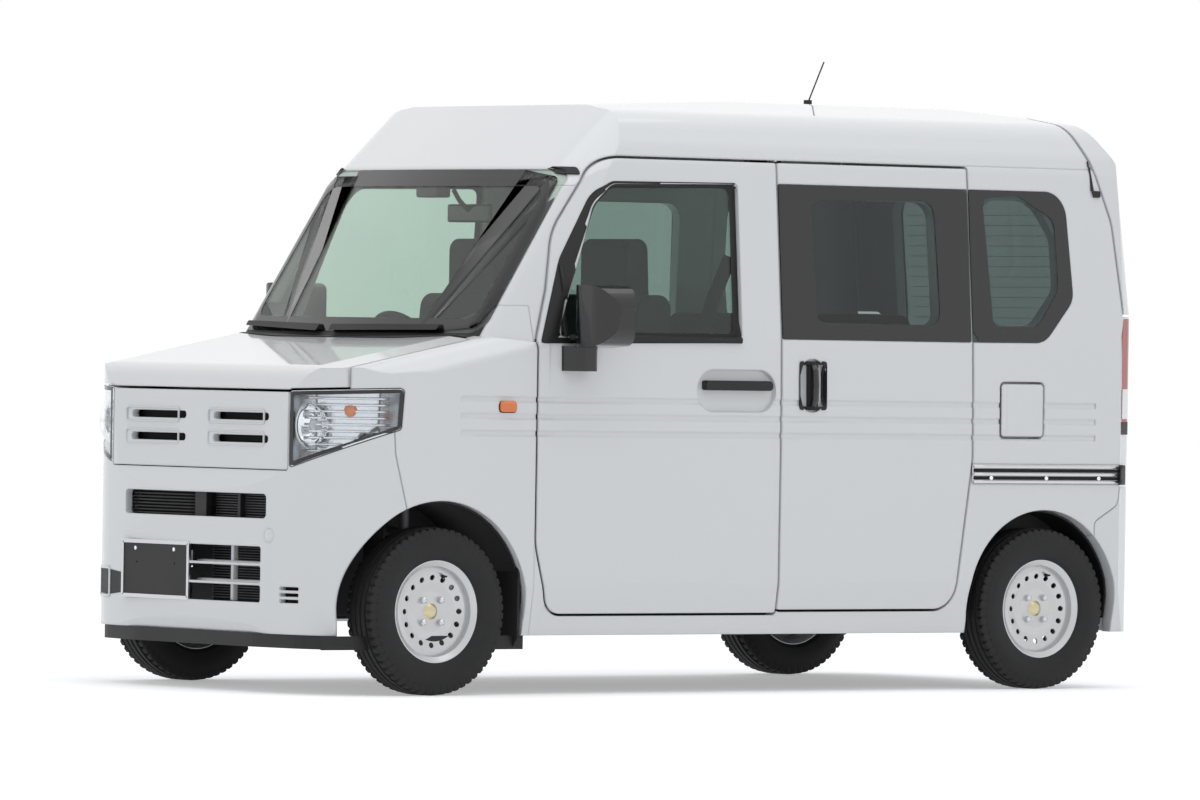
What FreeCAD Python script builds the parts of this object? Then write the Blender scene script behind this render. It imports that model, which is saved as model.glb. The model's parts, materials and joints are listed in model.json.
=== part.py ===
"""A small high-roof delivery van: hollow body panels, doors, tailgate, hood, glass, seats and running gear.

Frame: +X forward, +Y to the van's left, +Z up, origin on the ground at the middle of the length. Millimetres.
"""
import FreeCAD
import Part
import Sketcher
import math
import os
from FreeCAD import Vector

doc = FreeCAD.newDocument("kei_van")
sheet = doc.addObject("Spreadsheet::Sheet", "sizes")

# Driving dimensions: name, value in millimetres or degrees.
SIZES = [
    # whole van
    ("front_overhang", 455), ("wheelbase", 2520), ("rear_overhang", 420),
    ("overall_width", 1475), ("overall_height", 1945), ("track", 1310),
    # the body's main lines: heights, drops below the top and the hood's rise to the windscreen
    ("body_bottom", 190), ("sill_crease", 358), ("belt_height", 1150), ("glass_drop", 289),
    ("drip_drop", 207), ("header_drop", 245), ("hood_front_height", 966), ("hood_rise", 184),
    ("grille_bottom", 712), ("floor_top", 400), ("floor_thickness", 40),
    # wall thicknesses and gaps
    ("cabin_wall", 45), ("roof_wall", 30), ("nose_wall", 26), ("door_gap", 8), ("seam_gap", 3),
    ("glass_thickness", 4), ("seat_clearance", 0.3),
    # windscreen and roof dome, behind the front axle and in from the sides
    ("screen_back", 112.5), ("screen_run", 364), ("screen_bow", 82), ("pillar_inset", 97.5),
    ("dome_run", 200), ("dome_rise", 185),
    # side doors, behind the front axle and ahead of the rear one
    ("front_door_back", 374.5), ("middle_seam_back", 1377.5), ("sliding_door_ahead", 331.5),
    ("door_bottom", 256),
    # hood and lamps, in from the sides
    ("hood_inset", 73.5), ("lamp_inset", 253.5),
    # tailgate, ahead of the tail and in from the sides
    ("gate_bottom", 535), ("gate_inset", 141.5), ("gate_shoulder", 1252), ("roof_rear_ahead", 269.5),
    # wheels
    ("tyre_radius", 268), ("rim_radius", 152), ("flange_radius", 169),
    ("front_arch_radius", 345), ("rear_arch_radius", 322), ("arch_raise", 8),
    ("steer_axis_y", 535), ("spindle_radius", 17), ("bearing_clearance", 0.05),
    ("liner_thickness", 6), ("liner_inner_y", 415),
    # three pressed ribs along each side
    ("rib_low", 838), ("rib_pitch", 54), ("rib_height", 26), ("rib_depth", 4),
    # hinges: pin behind the panel's edge, pin under the skin
    ("door_pin_back", 50), ("door_pin_deep", 16), ("gate_pin_ahead", 26), ("gate_pin_low", 47),
    ("gate_swing_gap", 4), ("hood_pin_back", 70),
    ("skin", 5), ("door_skin", 7), ("pin_radius", 3.5),
    # running gear
    ("rail_inner_y", 340), ("rail_outer_y", 400), ("engine_back", 167.5), ("engine_length", 400),
    ("engine_width", 600), ("engine_low", 240), ("engine_height", 520),
    ("tank_ahead", 557.5), ("tank_length", 520),
    ("tank_width", 600), ("tank_height", 150), ("pipe_y", -400), ("pipe_z", 330), ("pipe_radius", 20),
    ("silencer_radius", 55), ("axle_radius", 34), ("spring_y", 480), ("spring_width", 50),
    # aerial
    ("aerial_ahead", 457.5), ("aerial_length", 155), ("aerial_radius", 2.5),
]
for row, (alias, value) in enumerate(SIZES, start=1):
    sheet.set(f"A{row}", alias)
    sheet.set(f"B{row}", str(value))
    sheet.setAlias(f"B{row}", alias)
doc.recompute()


class Sizes:
    """Reads a driving dimension from the sheet by its alias."""

    def __getattr__(self, alias):
        return float(sheet.get(alias))


S = Sizes()
# The body is drawn with its front axle at a fixed place, and each finished piece is then moved by SHIFT,
# which brings the origin to the middle of the length.
FRONT_AXLE = 1242.5
REAR_AXLE = FRONT_AXLE - S.wheelbase
NOSE = FRONT_AXLE + S.front_overhang
TAIL = REAR_AXLE - S.rear_overhang
SHIFT = Vector(-(NOSE + TAIL) / 2, 0, 0)
HALF = S.overall_width / 2
TOP = S.overall_height
DRIP = TOP - S.drip_drop
HEADER = TOP - S.header_drop
GLASS_TOP = TOP - S.glass_drop
SCREEN_BASE = S.hood_front_height + S.hood_rise
SCREEN_X = FRONT_AXLE - S.screen_back
PILLAR_HALF = HALF - S.pillar_inset
DOOR_FRONT_X = FRONT_AXLE - S.front_door_back
MIDDLE_SEAM = FRONT_AXLE - S.middle_seam_back
SLIDE_REAR = REAR_AXLE + S.sliding_door_ahead
ROOF_REAR = TAIL + S.roof_rear_ahead
GATE_HALF = HALF - S.gate_inset
HOOD_HALF = HALF - S.hood_inset
LAMP_INNER = HALF - S.lamp_inset
FAR = 3 * (NOSE - TAIL)
NODES = {}


# Outlines and prisms.
def inset(corners, distance):
    """The outline moved inwards by distance; each corner is (u, v, radius), anticlockwise."""
    if not distance:
        return list(corners)
    count = len(corners)
    moved = []
    for i, (u, v, radius) in enumerate(corners):
        before, after = corners[i - 1], corners[(i + 1) % count]
        a = Vector(u - before[0], v - before[1], 0).normalize()
        b = Vector(after[0] - u, after[1] - v, 0).normalize()
        turn = a.x * b.y - a.y * b.x
        shift = distance * (1 - (a.x * b.x + a.y * b.y)) / turn if abs(turn) > 1e-9 else 0
        left = Vector(-a.y, a.x, 0)
        point = Vector(u, v, 0) + left * distance - a * shift
        convex = turn > 0
        moved.append((point.x, point.y, max(radius - distance, 0.5) if convex and radius else
                      (radius + distance if radius else 0)))
    return moved


def outline_wire(corners, place):
    """A closed wire through the corners, each rounded by its radius. place maps (u, v) to a point."""
    count = len(corners)
    cut = []
    for i, (u, v, radius) in enumerate(corners):
        here = Vector(u, v, 0)
        before = Vector(corners[i - 1][0], corners[i - 1][1], 0) - here
        after = Vector(corners[(i + 1) % count][0], corners[(i + 1) % count][1], 0) - here
        half = before.getAngle(after) / 2
        reach = radius / math.tan(half) if radius and half > 1e-6 else 0
        reach = min(reach, 0.49 * before.Length, 0.49 * after.Length)
        if reach < 0.01 or half > math.pi / 2 - 1e-4:
            cut.append((here, here, here))
            continue
        bisector = (before.normalize() + after.normalize()).normalize()
        true_radius = reach * math.tan(half)
        middle = here + bisector * (true_radius / math.sin(half) - true_radius)
        cut.append((here + before * reach, middle, here + after * reach))
    edges = []
    for i, (start, middle, end) in enumerate(cut):
        if start != end:
            edges.append(Part.Arc(place(start), place(middle), place(end)).toShape())
        following = cut[(i + 1) % count][0]
        if (following - end).Length > 1e-6:
            edges.append(Part.LineSegment(place(end), place(following)).toShape())
    return Part.Wire(edges)


def prism_y(corners, low, high):
    """A side-view outline of (x, z, radius) corners, extruded from y = low to y = high."""
    wire = outline_wire(corners, lambda p: Vector(p.x, low, p.y))
    return Part.Face(wire).extrude(Vector(0, high - low, 0))


def prism_x(corners, low, high):
    """A front-view outline of (y, z, radius) corners, extruded from x = low to x = high."""
    wire = outline_wire(corners, lambda p: Vector(low, p.x, p.y))
    return Part.Face(wire).extrude(Vector(high - low, 0, 0))


def prism_z(corners, low, high):
    """A plan-view outline of (x, y, radius) corners, extruded from z = low to z = high."""
    wire = outline_wire(corners, lambda p: Vector(p.x, p.y, low))
    return Part.Face(wire).extrude(Vector(0, 0, high - low))


def tilted_prism(corners, origin, along):
    """An outline of (u, y, radius) corners square to a direction in the side view; u is the way it faces."""
    axis = Vector(along).normalize()
    facing = Vector(axis.z, 0, -axis.x)
    wire = outline_wire(corners, lambda p: origin + facing * p.x + Vector(0, p.y, 0) - axis * FAR)
    return Part.Face(wire).extrude(axis * (2 * FAR))


def box(x0, x1, y0, y1, z0, z1):
    return Part.makeBox(x1 - x0, y1 - y0, z1 - z0, Vector(x0, y0, z0))


def mirrored(shape):
    """The same shape on the other side of the van."""
    return shape.mirror(Vector(0, 0, 0), Vector(0, 1, 0))


def both_sides(corners):
    """A symmetrical front-view outline from its (y, z, radius) corners on the y > 0 side, lowest first."""
    return list(corners) + [(-y, z, r) for y, z, r in reversed(corners)]


# The body's volumes.
DROP = 400  # how far an inner volume runs out below the open underside
FIREWALL = FRONT_AXLE - 292.5


def cabin_volume(depth, roof_depth=None, tail_depth=None):
    """The cabin's outer volume, or the space that lies depth inside its surface."""
    roof_depth = depth if roof_depth is None else roof_depth
    tail_depth = depth if tail_depth is None else tail_depth
    bottom = S.body_bottom if not depth else S.body_bottom - DROP
    side = [  # x, z, radius
        (TAIL, bottom, 0), (FIREWALL, bottom, 0), (FIREWALL, SCREEN_BASE - 100, 0),
        (NOSE, SCREEN_BASE - 100, 0), (NOSE, TOP - 70, 0), (SCREEN_X - 710, TOP - 38, 900),
        (SCREEN_X - 1550, TOP, 2600), (TAIL + 517.5, TOP, 900), (TAIL + 197.5, TOP - 42, 110),
        (TAIL + 85.5, TOP - 190, 260), (TAIL + 29.5, TOP - 375, 700), (TAIL, TOP - 745, 900),
    ]
    side = prism_y(inset(side, roof_depth), -FAR, FAR)
    section = [  # y, z, radius, left half
        (HALF - 26, bottom, 0), (HALF - 22, S.body_bottom + 20, 40), (HALF, S.sill_crease, 60),
        (HALF, S.belt_height - 190, 900), (HALF - 5, S.belt_height + 20, 700), (HALF - 47, DRIP - 20, 60),
        (HALF - 62, DRIP + 40, 120), (HALF - 118, TOP - 62, 150), (HALF - 507.5, TOP - 4, 900), (0, TOP, 0),
    ]
    left = [(-y, z, r) for y, z, r in reversed(section) if y > 0]
    section = prism_x(inset(section + left, depth), -FAR, FAR)
    rise = HEADER - SCREEN_BASE
    screen_dir = Vector(-S.screen_run, 0, rise)
    screen_origin = Vector(SCREEN_X, 0, SCREEN_BASE)
    steep = math.sin(math.atan2(rise, S.screen_run))
    screen = bow_outline(steep, 80, 60)
    screen = tilted_prism(inset(screen, depth), screen_origin, screen_dir)
    dome_steep = math.sin(math.atan2(S.dome_rise, S.dome_run))
    dome = tilted_prism(inset(bow_outline(dome_steep, 220, 150), roof_depth),
                        screen_origin + screen_dir, Vector(-S.dome_run, 0, S.dome_rise))
    volume = section.common(side).common(screen).common(dome)
    for start, lean in ((0, 0.0), (1250, 0.14)):
        plan = [  # u, y, radius: square across the back with rounded corners
            (FAR, -2 * HALF, 0), (FAR, 2 * HALF, 0), (200, 2 * HALF, 0), (110, HALF + 6, 60),
            (0, HALF - 60, 90), (-4, 0, 0), (0, -HALF + 60, 90), (110, -HALF - 6, 60), (200, -2 * HALF, 0),
        ]
        tail = tilted_prism(inset(plan, tail_depth), Vector(TAIL + 4, 0, start), Vector(lean, 0, 1))
        volume = volume.common(tail)
    return volume


def bow_outline(steep, corner_radius, blend_radius):
    """The bowed front of the windscreen or dome, seen along it, as (u, y, radius) corners."""
    drop = -S.screen_bow * steep
    half = PILLAR_HALF
    return [
        (-FAR, -3 * HALF, 0), (drop - 700, -3 * HALF, 0), (drop - 330 * steep, -HALF - 40, blend_radius),
        (drop, -half, corner_radius), (0, 0, 4000), (drop, half, corner_radius),
        (drop - 330 * steep, HALF + 40, blend_radius), (drop - 700, 3 * HALF, 0), (-FAR, 3 * HALF, 0),
    ]


def nose_volume(depth):
    """The engine bay's outer volume, or the space that lies depth inside its surface."""
    bottom = S.body_bottom if not depth else S.body_bottom - DROP
    rear = FIREWALL - (130 if not depth else 250)
    slope = (SCREEN_BASE - S.hood_front_height - 72) / (SCREEN_X - 45 - NOSE + 57)
    hood_edge = S.hood_front_height + 74
    side = [  # x, z, radius
        (rear, bottom, 0), (NOSE - 22, bottom, 0), (NOSE, S.body_bottom + 40, 60),
        (NOSE, S.grille_bottom - 72, 70), (NOSE - 24, S.grille_bottom - 10, 30),
        (NOSE - 31, S.hood_front_height, 20),
        (NOSE - 57, hood_edge, 75), (SCREEN_X - 45, SCREEN_BASE, 150), (rear, S.belt_height - 24, 0),
    ]
    volume = prism_y(inset(side, depth), -FAR, FAR)
    plan = [  # x, y, radius, left half
        (rear - 60, 0, 0), (NOSE, 0, 0), (NOSE - 6, HALF - 407.5, 1500), (NOSE - 46, HALF - 147.5, 260),
        (NOSE - 190, HALF - 22, 230),
        (NOSE - 420, HALF, 500), (rear - 60, HALF, 0),
    ]
    mirror = [(x, -y, r) for x, y, r in reversed(plan) if y > 0]
    plan = plan[1:] + mirror
    volume = volume.common(prism_z(inset(plan, depth), -FAR, FAR))
    crown = hood_edge + 21.2 - slope * (NOSE - 57)
    section = [  # y, z, radius at x = 0, left half, sheared along the hood's slope
        (HALF + 1, -FAR, 0), (HALF + 1, crown - 100, 55), (HALF - 44, crown - 40, 60),
        (HALF - 240, crown - 11, 500), (0, crown, 0),
    ]
    left = [(-y, z, r) for y, z, r in reversed(section) if y > 0]
    wire = outline_wire(inset(section + left, depth), lambda p: Vector(0, p.x, p.y))
    volume = volume.common(Part.Face(wire).extrude(Vector(FAR, 0, slope * FAR)))
    lower = [  # y, z, radius: the sides tuck in below the crease
        (HALF - 26, bottom, 0), (HALF - 22, S.body_bottom + 20, 40), (HALF + 2, S.sill_crease, 60),
        (HALF + 2, TOP, 0), (-HALF - 2, TOP, 0), (-HALF - 2, S.sill_crease, 60),
        (-HALF + 22, S.body_bottom + 20, 40), (-HALF + 26, bottom, 0),
    ]
    return volume.common(prism_x(inset(lower, depth), -FAR, FAR))


outer = cabin_volume(0).fuse(nose_volume(0)).removeSplitter()
inner = cabin_volume(S.cabin_wall, S.roof_wall, S.cabin_wall).fuse(nose_volume(S.nose_wall))


def rib_cutter(z):
    """A shallow groove pressed into the left side at height z."""
    half = S.rib_height / 2
    groove = [(HALF - S.rib_depth, z - half + 7, 0), (HALF + 9, z - half - 7, 0),
              (HALF + 9, z + half + 7, 0), (HALF - S.rib_depth, z + half - 7, 0)]
    return prism_x(groove, TAIL + 212, FRONT_AXLE - 70)


for index in range(3):
    rib = rib_cutter(S.rib_low + index * S.rib_pitch)
    outer = outer.cut(rib).cut(mirrored(rib))
shell = outer.cut(inner)

# Lines that split the shell into panels, as side-view outlines of (x, z, radius) corners.
HALF_GAP = S.door_gap / 2
DOOR_TOP = DRIP - 5
DOOR_FRONT = DOOR_FRONT_X - HALF_GAP
FRONT_DOOR = [
    (MIDDLE_SEAM, S.door_bottom, 14), (DOOR_FRONT_X - 58, S.door_bottom, 70),
    (DOOR_FRONT_X, S.sill_crease + 122, 220), (DOOR_FRONT_X, S.belt_height - 20, 60),
    (DOOR_FRONT_X - 56, S.belt_height + 150, 200), (DOOR_FRONT_X - 100, GLASS_TOP - 166, 260),
    (DOOR_FRONT_X - 272, DOOR_TOP, 150), (MIDDLE_SEAM, DOOR_TOP, 10),
]
SLIDING_DOOR = [
    (SLIDE_REAR + 66, S.door_bottom + 10, 90), (MIDDLE_SEAM, S.door_bottom + 10, 14),
    (MIDDLE_SEAM, DOOR_TOP, 10), (SLIDE_REAR, DOOR_TOP, 10), (SLIDE_REAR - 6, S.belt_height - 390, 300),
]
FRONT_WINDOW = [
    (MIDDLE_SEAM + 165, S.belt_height, 18), (DOOR_FRONT_X - 93, S.belt_height, 10),
    (DOOR_FRONT_X - 93, S.belt_height + 40, 60), (DOOR_FRONT_X - 242, GLASS_TOP - 78, 90),
    (DOOR_FRONT_X - 318, GLASS_TOP - 10, 60), (MIDDLE_SEAM + 165, GLASS_TOP, 22),
]
SLIDING_GLASS = [
    (SLIDE_REAR + HALF_GAP, S.belt_height + 4, 6), (MIDDLE_SEAM - HALF_GAP, S.belt_height + 4, 6),
    (MIDDLE_SEAM - HALF_GAP, GLASS_TOP + 4, 6), (SLIDE_REAR + HALF_GAP, GLASS_TOP + 4, 6),
]
SLIDING_WINDOW = [
    (SLIDE_REAR + 140, S.belt_height + 58, 40), (MIDDLE_SEAM - 150, S.belt_height + 58, 40),
    (MIDDLE_SEAM - 135, GLASS_TOP - 44, 50), (SLIDE_REAR + 148, GLASS_TOP - 44, 60),
]
QUARTER_GLASS = [
    (SLIDE_REAR - 316, S.belt_height + 6, 90), (SLIDE_REAR - HALF_GAP, S.belt_height + 4, 6),
    (SLIDE_REAR - HALF_GAP, GLASS_TOP + 4, 6), (SLIDE_REAR - 420, GLASS_TOP + 4, 90),
    (SLIDE_REAR - 446, S.belt_height + 150, 70),
]
QUARTER_WINDOW = [
    (SLIDE_REAR - 280, S.belt_height + 60, 60), (SLIDE_REAR - 89, S.belt_height + 60, 60),
    (SLIDE_REAR - 59, S.belt_height + 250, 300), (SLIDE_REAR - 59, GLASS_TOP - 28, 60),
    (SLIDE_REAR - 294, GLASS_TOP - 28, 120), (SLIDE_REAR - 384, GLASS_TOP - 156, 80),
    (SLIDE_REAR - 389, S.belt_height + 180, 70),
]
ROOF_SIDE = [
    (ROOF_REAR - 80, DRIP, 0), (DOOR_FRONT_X - 323, DRIP, 60), (DOOR_FRONT_X - 228, GLASS_TOP - 20, 20),
    (NOSE, GLASS_TOP - 20, 0), (NOSE, TOP + 200, 0), (ROOF_REAR - 80, TOP + 200, 0),
]
GATE_SIDE = [
    (TAIL - 200, -100, 0), (TAIL + 86, -100, 0), (TAIL + 86, S.gate_shoulder, 300),
    (TAIL + 126, TOP - 385, 200), (ROOF_REAR - 62, TOP - 180, 90), (ROOF_REAR, TOP - 45, 0),
    (ROOF_REAR, TOP + 200, 0), (TAIL - 200, TOP + 200, 0),
]
GATE_REAR = both_sides([
    (GATE_HALF, S.gate_bottom, 40), (GATE_HALF, S.gate_shoulder, 30),
    (2 * HALF, S.gate_shoulder, 0), (2 * HALF, TOP + 200, 0),
])
GATE_GLASS = both_sides([(GATE_HALF - 36, S.belt_height - 20, 60), (GATE_HALF - 66, TOP - 255, 70)])
GATE_WINDOW = both_sides([(GATE_HALF - 81, S.belt_height + 25, 60), (GATE_HALF - 106, TOP - 300, 60)])
SCREEN_GLASS = both_sides([
    (PILLAR_HALF + 2, SCREEN_BASE + 6, 45), (PILLAR_HALF - 2, HEADER - 12, 50),
])
SCREEN_WINDOW = both_sides([
    (PILLAR_HALF - 32, SCREEN_BASE + 46, 50), (PILLAR_HALF - 36, HEADER - 60, 60),
])
REAR_BUMPER = [
    (TAIL - 100, 0, 0), (TAIL + 208, 0, 0), (TAIL + 208, 558, 20), (TAIL + 106, 616, 40), (TAIL + 99, 678, 0),
    (TAIL - 100, 678, 0),
]
LAMP_LOW = S.belt_height - 299
TAIL_LAMP = [
    (TAIL - 50, LAMP_LOW, 0), (TAIL + 88, LAMP_LOW, 6), (TAIL + 96, LAMP_LOW + 329, 90),
    (TAIL + 84, LAMP_LOW + 389, 6), (TAIL - 50, LAMP_LOW + 393, 0),
]


def rectangle(u, v, width, height, radius):
    """An outline of a rounded rectangle from its low corner."""
    return [(u, v, radius), (u + width, v, radius), (u + width, v + height, radius), (u, v + height, radius)]


HANDLE_POCKET = rectangle(MIDDLE_SEAM + 25, S.belt_height - 236, 325, 137, 66)
HANDLE_BAR = rectangle(MIDDLE_SEAM + 43, S.belt_height - 166, 277, 32, 15)
SLIDE_POCKET = rectangle(MIDDLE_SEAM - 187, S.belt_height - 234, 113, 174, 54)
SLIDE_BAR = rectangle(MIDDLE_SEAM - 147, S.belt_height - 222, 33, 150, 14)
SLIDE_RAIL = rectangle(SLIDE_REAR - 652, 686, 648, 64, 4)
FUEL_LID = rectangle(REAR_AXLE + 19.5, 839, 188, 182, 16)
LID_FRONT = REAR_AXLE + 207.5


def opened(corners):
    """The outline of the opening that a panel sits in, half a gap outside the seam."""
    return inset(corners, -HALF_GAP)


def closed(corners):
    """The outline of the panel itself, half a gap inside the seam."""
    return inset(corners, HALF_GAP)


def left_prism(corners):
    return prism_y(corners, 300, 2 * HALF)


def ahead(corners):
    return prism_x(corners, 300, 1400)


def behind(corners):
    return prism_x(corners, 2 * TAIL, TAIL / 2)


def front(corners):
    return prism_x(corners, NOSE - 150, NOSE + 100)


def both(shape):
    """A left-hand piece together with its mirror image, as separate solids."""
    return Part.makeCompound([shape, mirrored(shape)])


DEPTHS = {}


def cabin_at(depth):
    """The cabin's volume at a depth inside its surface, built once for each depth."""
    if depth not in DEPTHS:
        DEPTHS[depth] = cabin_volume(depth)
    return DEPTHS[depth]


def layer(outside, inside, prism):
    """The part of a prism that lies between two depths of the cabin's surface."""
    return prism.common(cabin_at(outside)).cut(cabin_at(inside))


SEAT = S.seat_clearance
GLASS_FRONT = 0.5
GLASS_BACK = GLASS_FRONT + S.glass_thickness


def pocket(prism, depth):
    """What a panel loses where something lies in its surface, down to a depth."""
    return prism.cut(cabin_at(depth))


def arch(x, radius, inner_y, low=-100.0):
    """The open space of a wheel arch on the left side, from its circle downwards."""
    z = S.tyre_radius + S.arch_raise
    disc = Part.makeCylinder(radius, HALF, Vector(x, inner_y, z), Vector(0, 1, 0))
    return disc.fuse(box(x - radius + 3, x + radius - 3, inner_y, inner_y + HALF, low, z))


REAR_INNER_Y = 560
front_arch = arch(FRONT_AXLE, S.front_arch_radius, S.liner_inner_y)
rear_arch = arch(REAR_AXLE + 10, S.rear_arch_radius, REAR_INNER_Y)


# Hinges. Each is drawn with u towards the fixed edge, v away from the skin and w along the pin.
def placed(shape, point, u, v):
    """A hinge piece drawn in u, v and w, moved to its place."""
    w = u.cross(v)
    matrix = FreeCAD.Matrix(
        u.x, v.x, w.x, point.x,
        u.y, v.y, w.y, point.y,
        u.z, v.z, w.z, point.z,
        0, 0, 0, 1)
    moved = shape.copy()
    moved.Placement = FreeCAD.Placement(matrix)
    return moved


def hinge_arm(deep, reach, scale=1.0):
    """A pin on a cranked arm: in from the pin, then along under the panel to the fixed side."""
    k = scale
    arm = Part.makeCylinder(S.pin_radius * k, 30 * k, Vector(0, 0, -15 * k))
    arm = arm.fuse(Part.makeCylinder(6.5 * k, 10 * k, Vector(0, 0, -5 * k)))
    arm = arm.fuse(box(-5 * k, 5 * k, 0, deep + 6 * k, -5 * k, 5 * k))
    return arm.fuse(box(-5 * k, reach, deep - 6 * k, deep + 6 * k, -12 * k, 12 * k))


def hinge_ears(back, scale=1.0):
    """Two bored ears on the moving panel, one each side of the arm."""
    k = scale
    ears = None
    for low in (-14, 8):
        ear = box(-back - 6 * k, 0, -7 * k, 7 * k, low * k, (low + 6) * k)
        ear = ear.fuse(Part.makeCylinder(7 * k, 6 * k, Vector(0, 0, low * k)))
        ears = ear if ears is None else ears.fuse(ear)
    return ears.cut(Part.makeCylinder(S.pin_radius * k + S.bearing_clearance, 40 * k, Vector(0, 0, -20 * k)))


# Roof.
gate_opening = prism_y(opened(GATE_SIDE), -FAR, FAR).common(prism_x(opened(GATE_REAR), -FAR, FAR))
gate_space = prism_y(closed(GATE_SIDE), -FAR, FAR).common(prism_x(closed(GATE_REAR), -FAR, FAR))
door_opening = left_prism(opened(FRONT_DOOR))
screen_hole = ahead(SCREEN_WINDOW).fuse(pocket(ahead(inset(SCREEN_GLASS, -1.5)), GLASS_BACK + SEAT))
roof_space = prism_y(ROOF_SIDE, -FAR, FAR)
roof = shell.common(roof_space).cut(gate_opening).cut(gate_opening.translated(Vector(S.gate_swing_gap, 0, 0)))
roof = roof.cut(door_opening).cut(mirrored(door_opening)).cut(screen_hole)
windscreen = layer(GLASS_FRONT, GLASS_BACK, ahead(SCREEN_GLASS))

# Tailgate, hinged on cranked arms under the roof's rear edge.
GATE_AXIS = Vector(ROOF_REAR + S.gate_pin_ahead, 0, TOP - S.gate_pin_low)
gate = shell.common(gate_space).cut(behind(GATE_WINDOW))
gate = gate.cut(pocket(behind(inset(GATE_GLASS, -1.5)), GLASS_BACK + SEAT))
gate_glass = layer(GLASS_FRONT, GLASS_BACK, behind(GATE_GLASS))
roof = roof.cut(cabin_at(S.skin).common(box(ROOF_REAR, GATE_AXIS.x + 14, -170, 170, DRIP, TOP)))
for y in (-120, 120):
    point = Vector(GATE_AXIS.x, y, GATE_AXIS.z)
    gate = gate.fuse(placed(hinge_arm(40, 114), point, Vector(-1, 0, 0), Vector(0, 0, -1)))
    roof = roof.fuse(placed(hinge_ears(14), point, Vector(-1, 0, 0), Vector(0, 0, -1)))

# Front lamps, drawn as seen along a line 45 degrees off the side: (across, z, radius).
turn = math.sqrt(0.5)
lamp_edge = -(NOSE - 37 - LAMP_INNER) * turn
lamp_rear = lamp_edge + 361.6
LAMP = [
    (lamp_edge, S.grille_bottom + 8, 8), (lamp_rear - 8, S.grille_bottom + 134, 14),
    (lamp_rear, S.hood_front_height + 12, 14),
    (lamp_edge, S.hood_front_height, 8),
]


def lamp_prism(corners):
    """The left lamp's outline swept along the line that it is drawn for."""
    sight = Vector(turn, turn, 0)
    across = Vector(-turn, turn, 0)
    wire = outline_wire(corners, lambda p: across * p.x + Vector(0, 0, p.y) + sight * 700)
    return Part.Face(wire).extrude(sight * 2000)


lamp_opening = lamp_prism(inset(LAMP, -S.seam_gap / 2))
lamp_space = lamp_prism(inset(LAMP, S.seam_gap / 2))
LAMP_DEPTH = 85
lens = nose_volume(0.5).cut(nose_volume(3.5)).common(lamp_space)
housing = nose_volume(3.5 + SEAT).cut(nose_volume(LAMP_DEPTH)).common(lamp_space)
hollow = nose_volume(0).cut(nose_volume(LAMP_DEPTH - 12)).common(lamp_prism(inset(LAMP, S.seam_gap / 2 + 4)))
housing = housing.cut(hollow)

# Hood, hinged at its rear edge.
HOOD_LOW = S.hood_front_height + 2
HOOD_REAR = SCREEN_X + 22
hood_plan = [
    (NOSE + 50, -HOOD_HALF, 0), (NOSE + 50, HOOD_HALF, 0), (HOOD_REAR - 67, HOOD_HALF, 14),
    (HOOD_REAR, HOOD_HALF / 2, 400), (HOOD_REAR, -HOOD_HALF / 2, 400), (HOOD_REAR - 67, -HOOD_HALF, 14),
]
HOOD_AXIS = Vector(HOOD_REAR + HALF_GAP + S.hood_pin_back, 0, SCREEN_BASE - 51)
hood_opening = prism_z(opened(hood_plan), HOOD_LOW - S.door_gap, TOP)
hood = shell.common(prism_z(closed(hood_plan), HOOD_LOW, TOP))
lamp_clear = lamp_prism(inset(LAMP, -6))
hood = hood.cut(lamp_clear).cut(mirrored(lamp_clear))
hinge_strip = box(FIREWALL + 50, HOOD_AXIS.x + 14, -FAR, FAR, S.grille_bottom, TOP)
hood = hood.cut(nose_volume(S.skin).common(hinge_strip))
cowl_space = box(
    FIREWALL - 100, FIREWALL + 300, -PILLAR_HALF, PILLAR_HALF, SCREEN_BASE - 150, SCREEN_BASE + 50)
cowl = shell.common(cowl_space).cut(hood_opening)
cowl = cowl.cut(prism_z([(x - 10, y, r) for x, y, r in opened(hood_plan)], HOOD_LOW, TOP)).cut(screen_hole)

# Grille and bumper.
nose_shell = shell.cut(hood_opening).cut(lamp_opening).cut(mirrored(lamp_opening))
GRILLE = both_sides([(LAMP_INNER - 2, S.grille_bottom, 8), (LAMP_INNER - 2, HOOD_LOW - S.door_gap + 1, 4)])
grille = nose_shell.common(front(inset(GRILLE, 1)))
for low in (S.grille_bottom + 84, S.grille_bottom + 156):
    slot = front([(76, low, 11), (378, low, 11), (378, low + 24, 11), (76, low + 24, 11)])
    grille = grille.cut(slot).cut(mirrored(slot))
BUMPER = [  # x, z, radius: the side seam rises from the wheel arch to the lamp
    (NOSE - 338, -100, 0), (NOSE + 100, -100, 0), (NOSE + 100, S.hood_front_height - 6, 0),
    (NOSE - 262, S.hood_front_height - 6, 0), (NOSE - 276, S.grille_bottom + 54, 60),
    (NOSE - 319, S.grille_bottom - 111, 0),
]
bumper = nose_shell.common(prism_y(BUMPER, -FAR, FAR)).cut(front(inset(GRILLE, -S.seam_gap + 1)))
bumper = bumper.common(box(0, 2 * NOSE, -FAR, FAR, -100, S.hood_front_height - 66))
bumper = bumper.cut(front(both_sides([(388, S.grille_bottom - 156, 14), (388, S.grille_bottom - 78, 14)])))
for row in range(3):
    low = 288 + row * 62
    bumper = bumper.cut(front(both_sides([(366, low, 8), (366, low + 54, 8)])))
    low = 290 + row * 20
    bumper = bumper.cut(front([(455, low, 3), (536, low, 3), (536, low + 11, 3), (455, low + 11, 3)]))
bumper = bumper.cut(front([(-629, 291, 12), (-497, 291, 12), (-497, 372, 12), (-629, 372, 12)]))
bumper = bumper.cut(front_arch).cut(mirrored(front_arch))
PLATE = [(-376, 291, 6), (-12, 291, 6), (-12, 467, 6), (-376, 467, 6)]
plate = prism_x(PLATE, NOSE - 12, NOSE)
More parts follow.
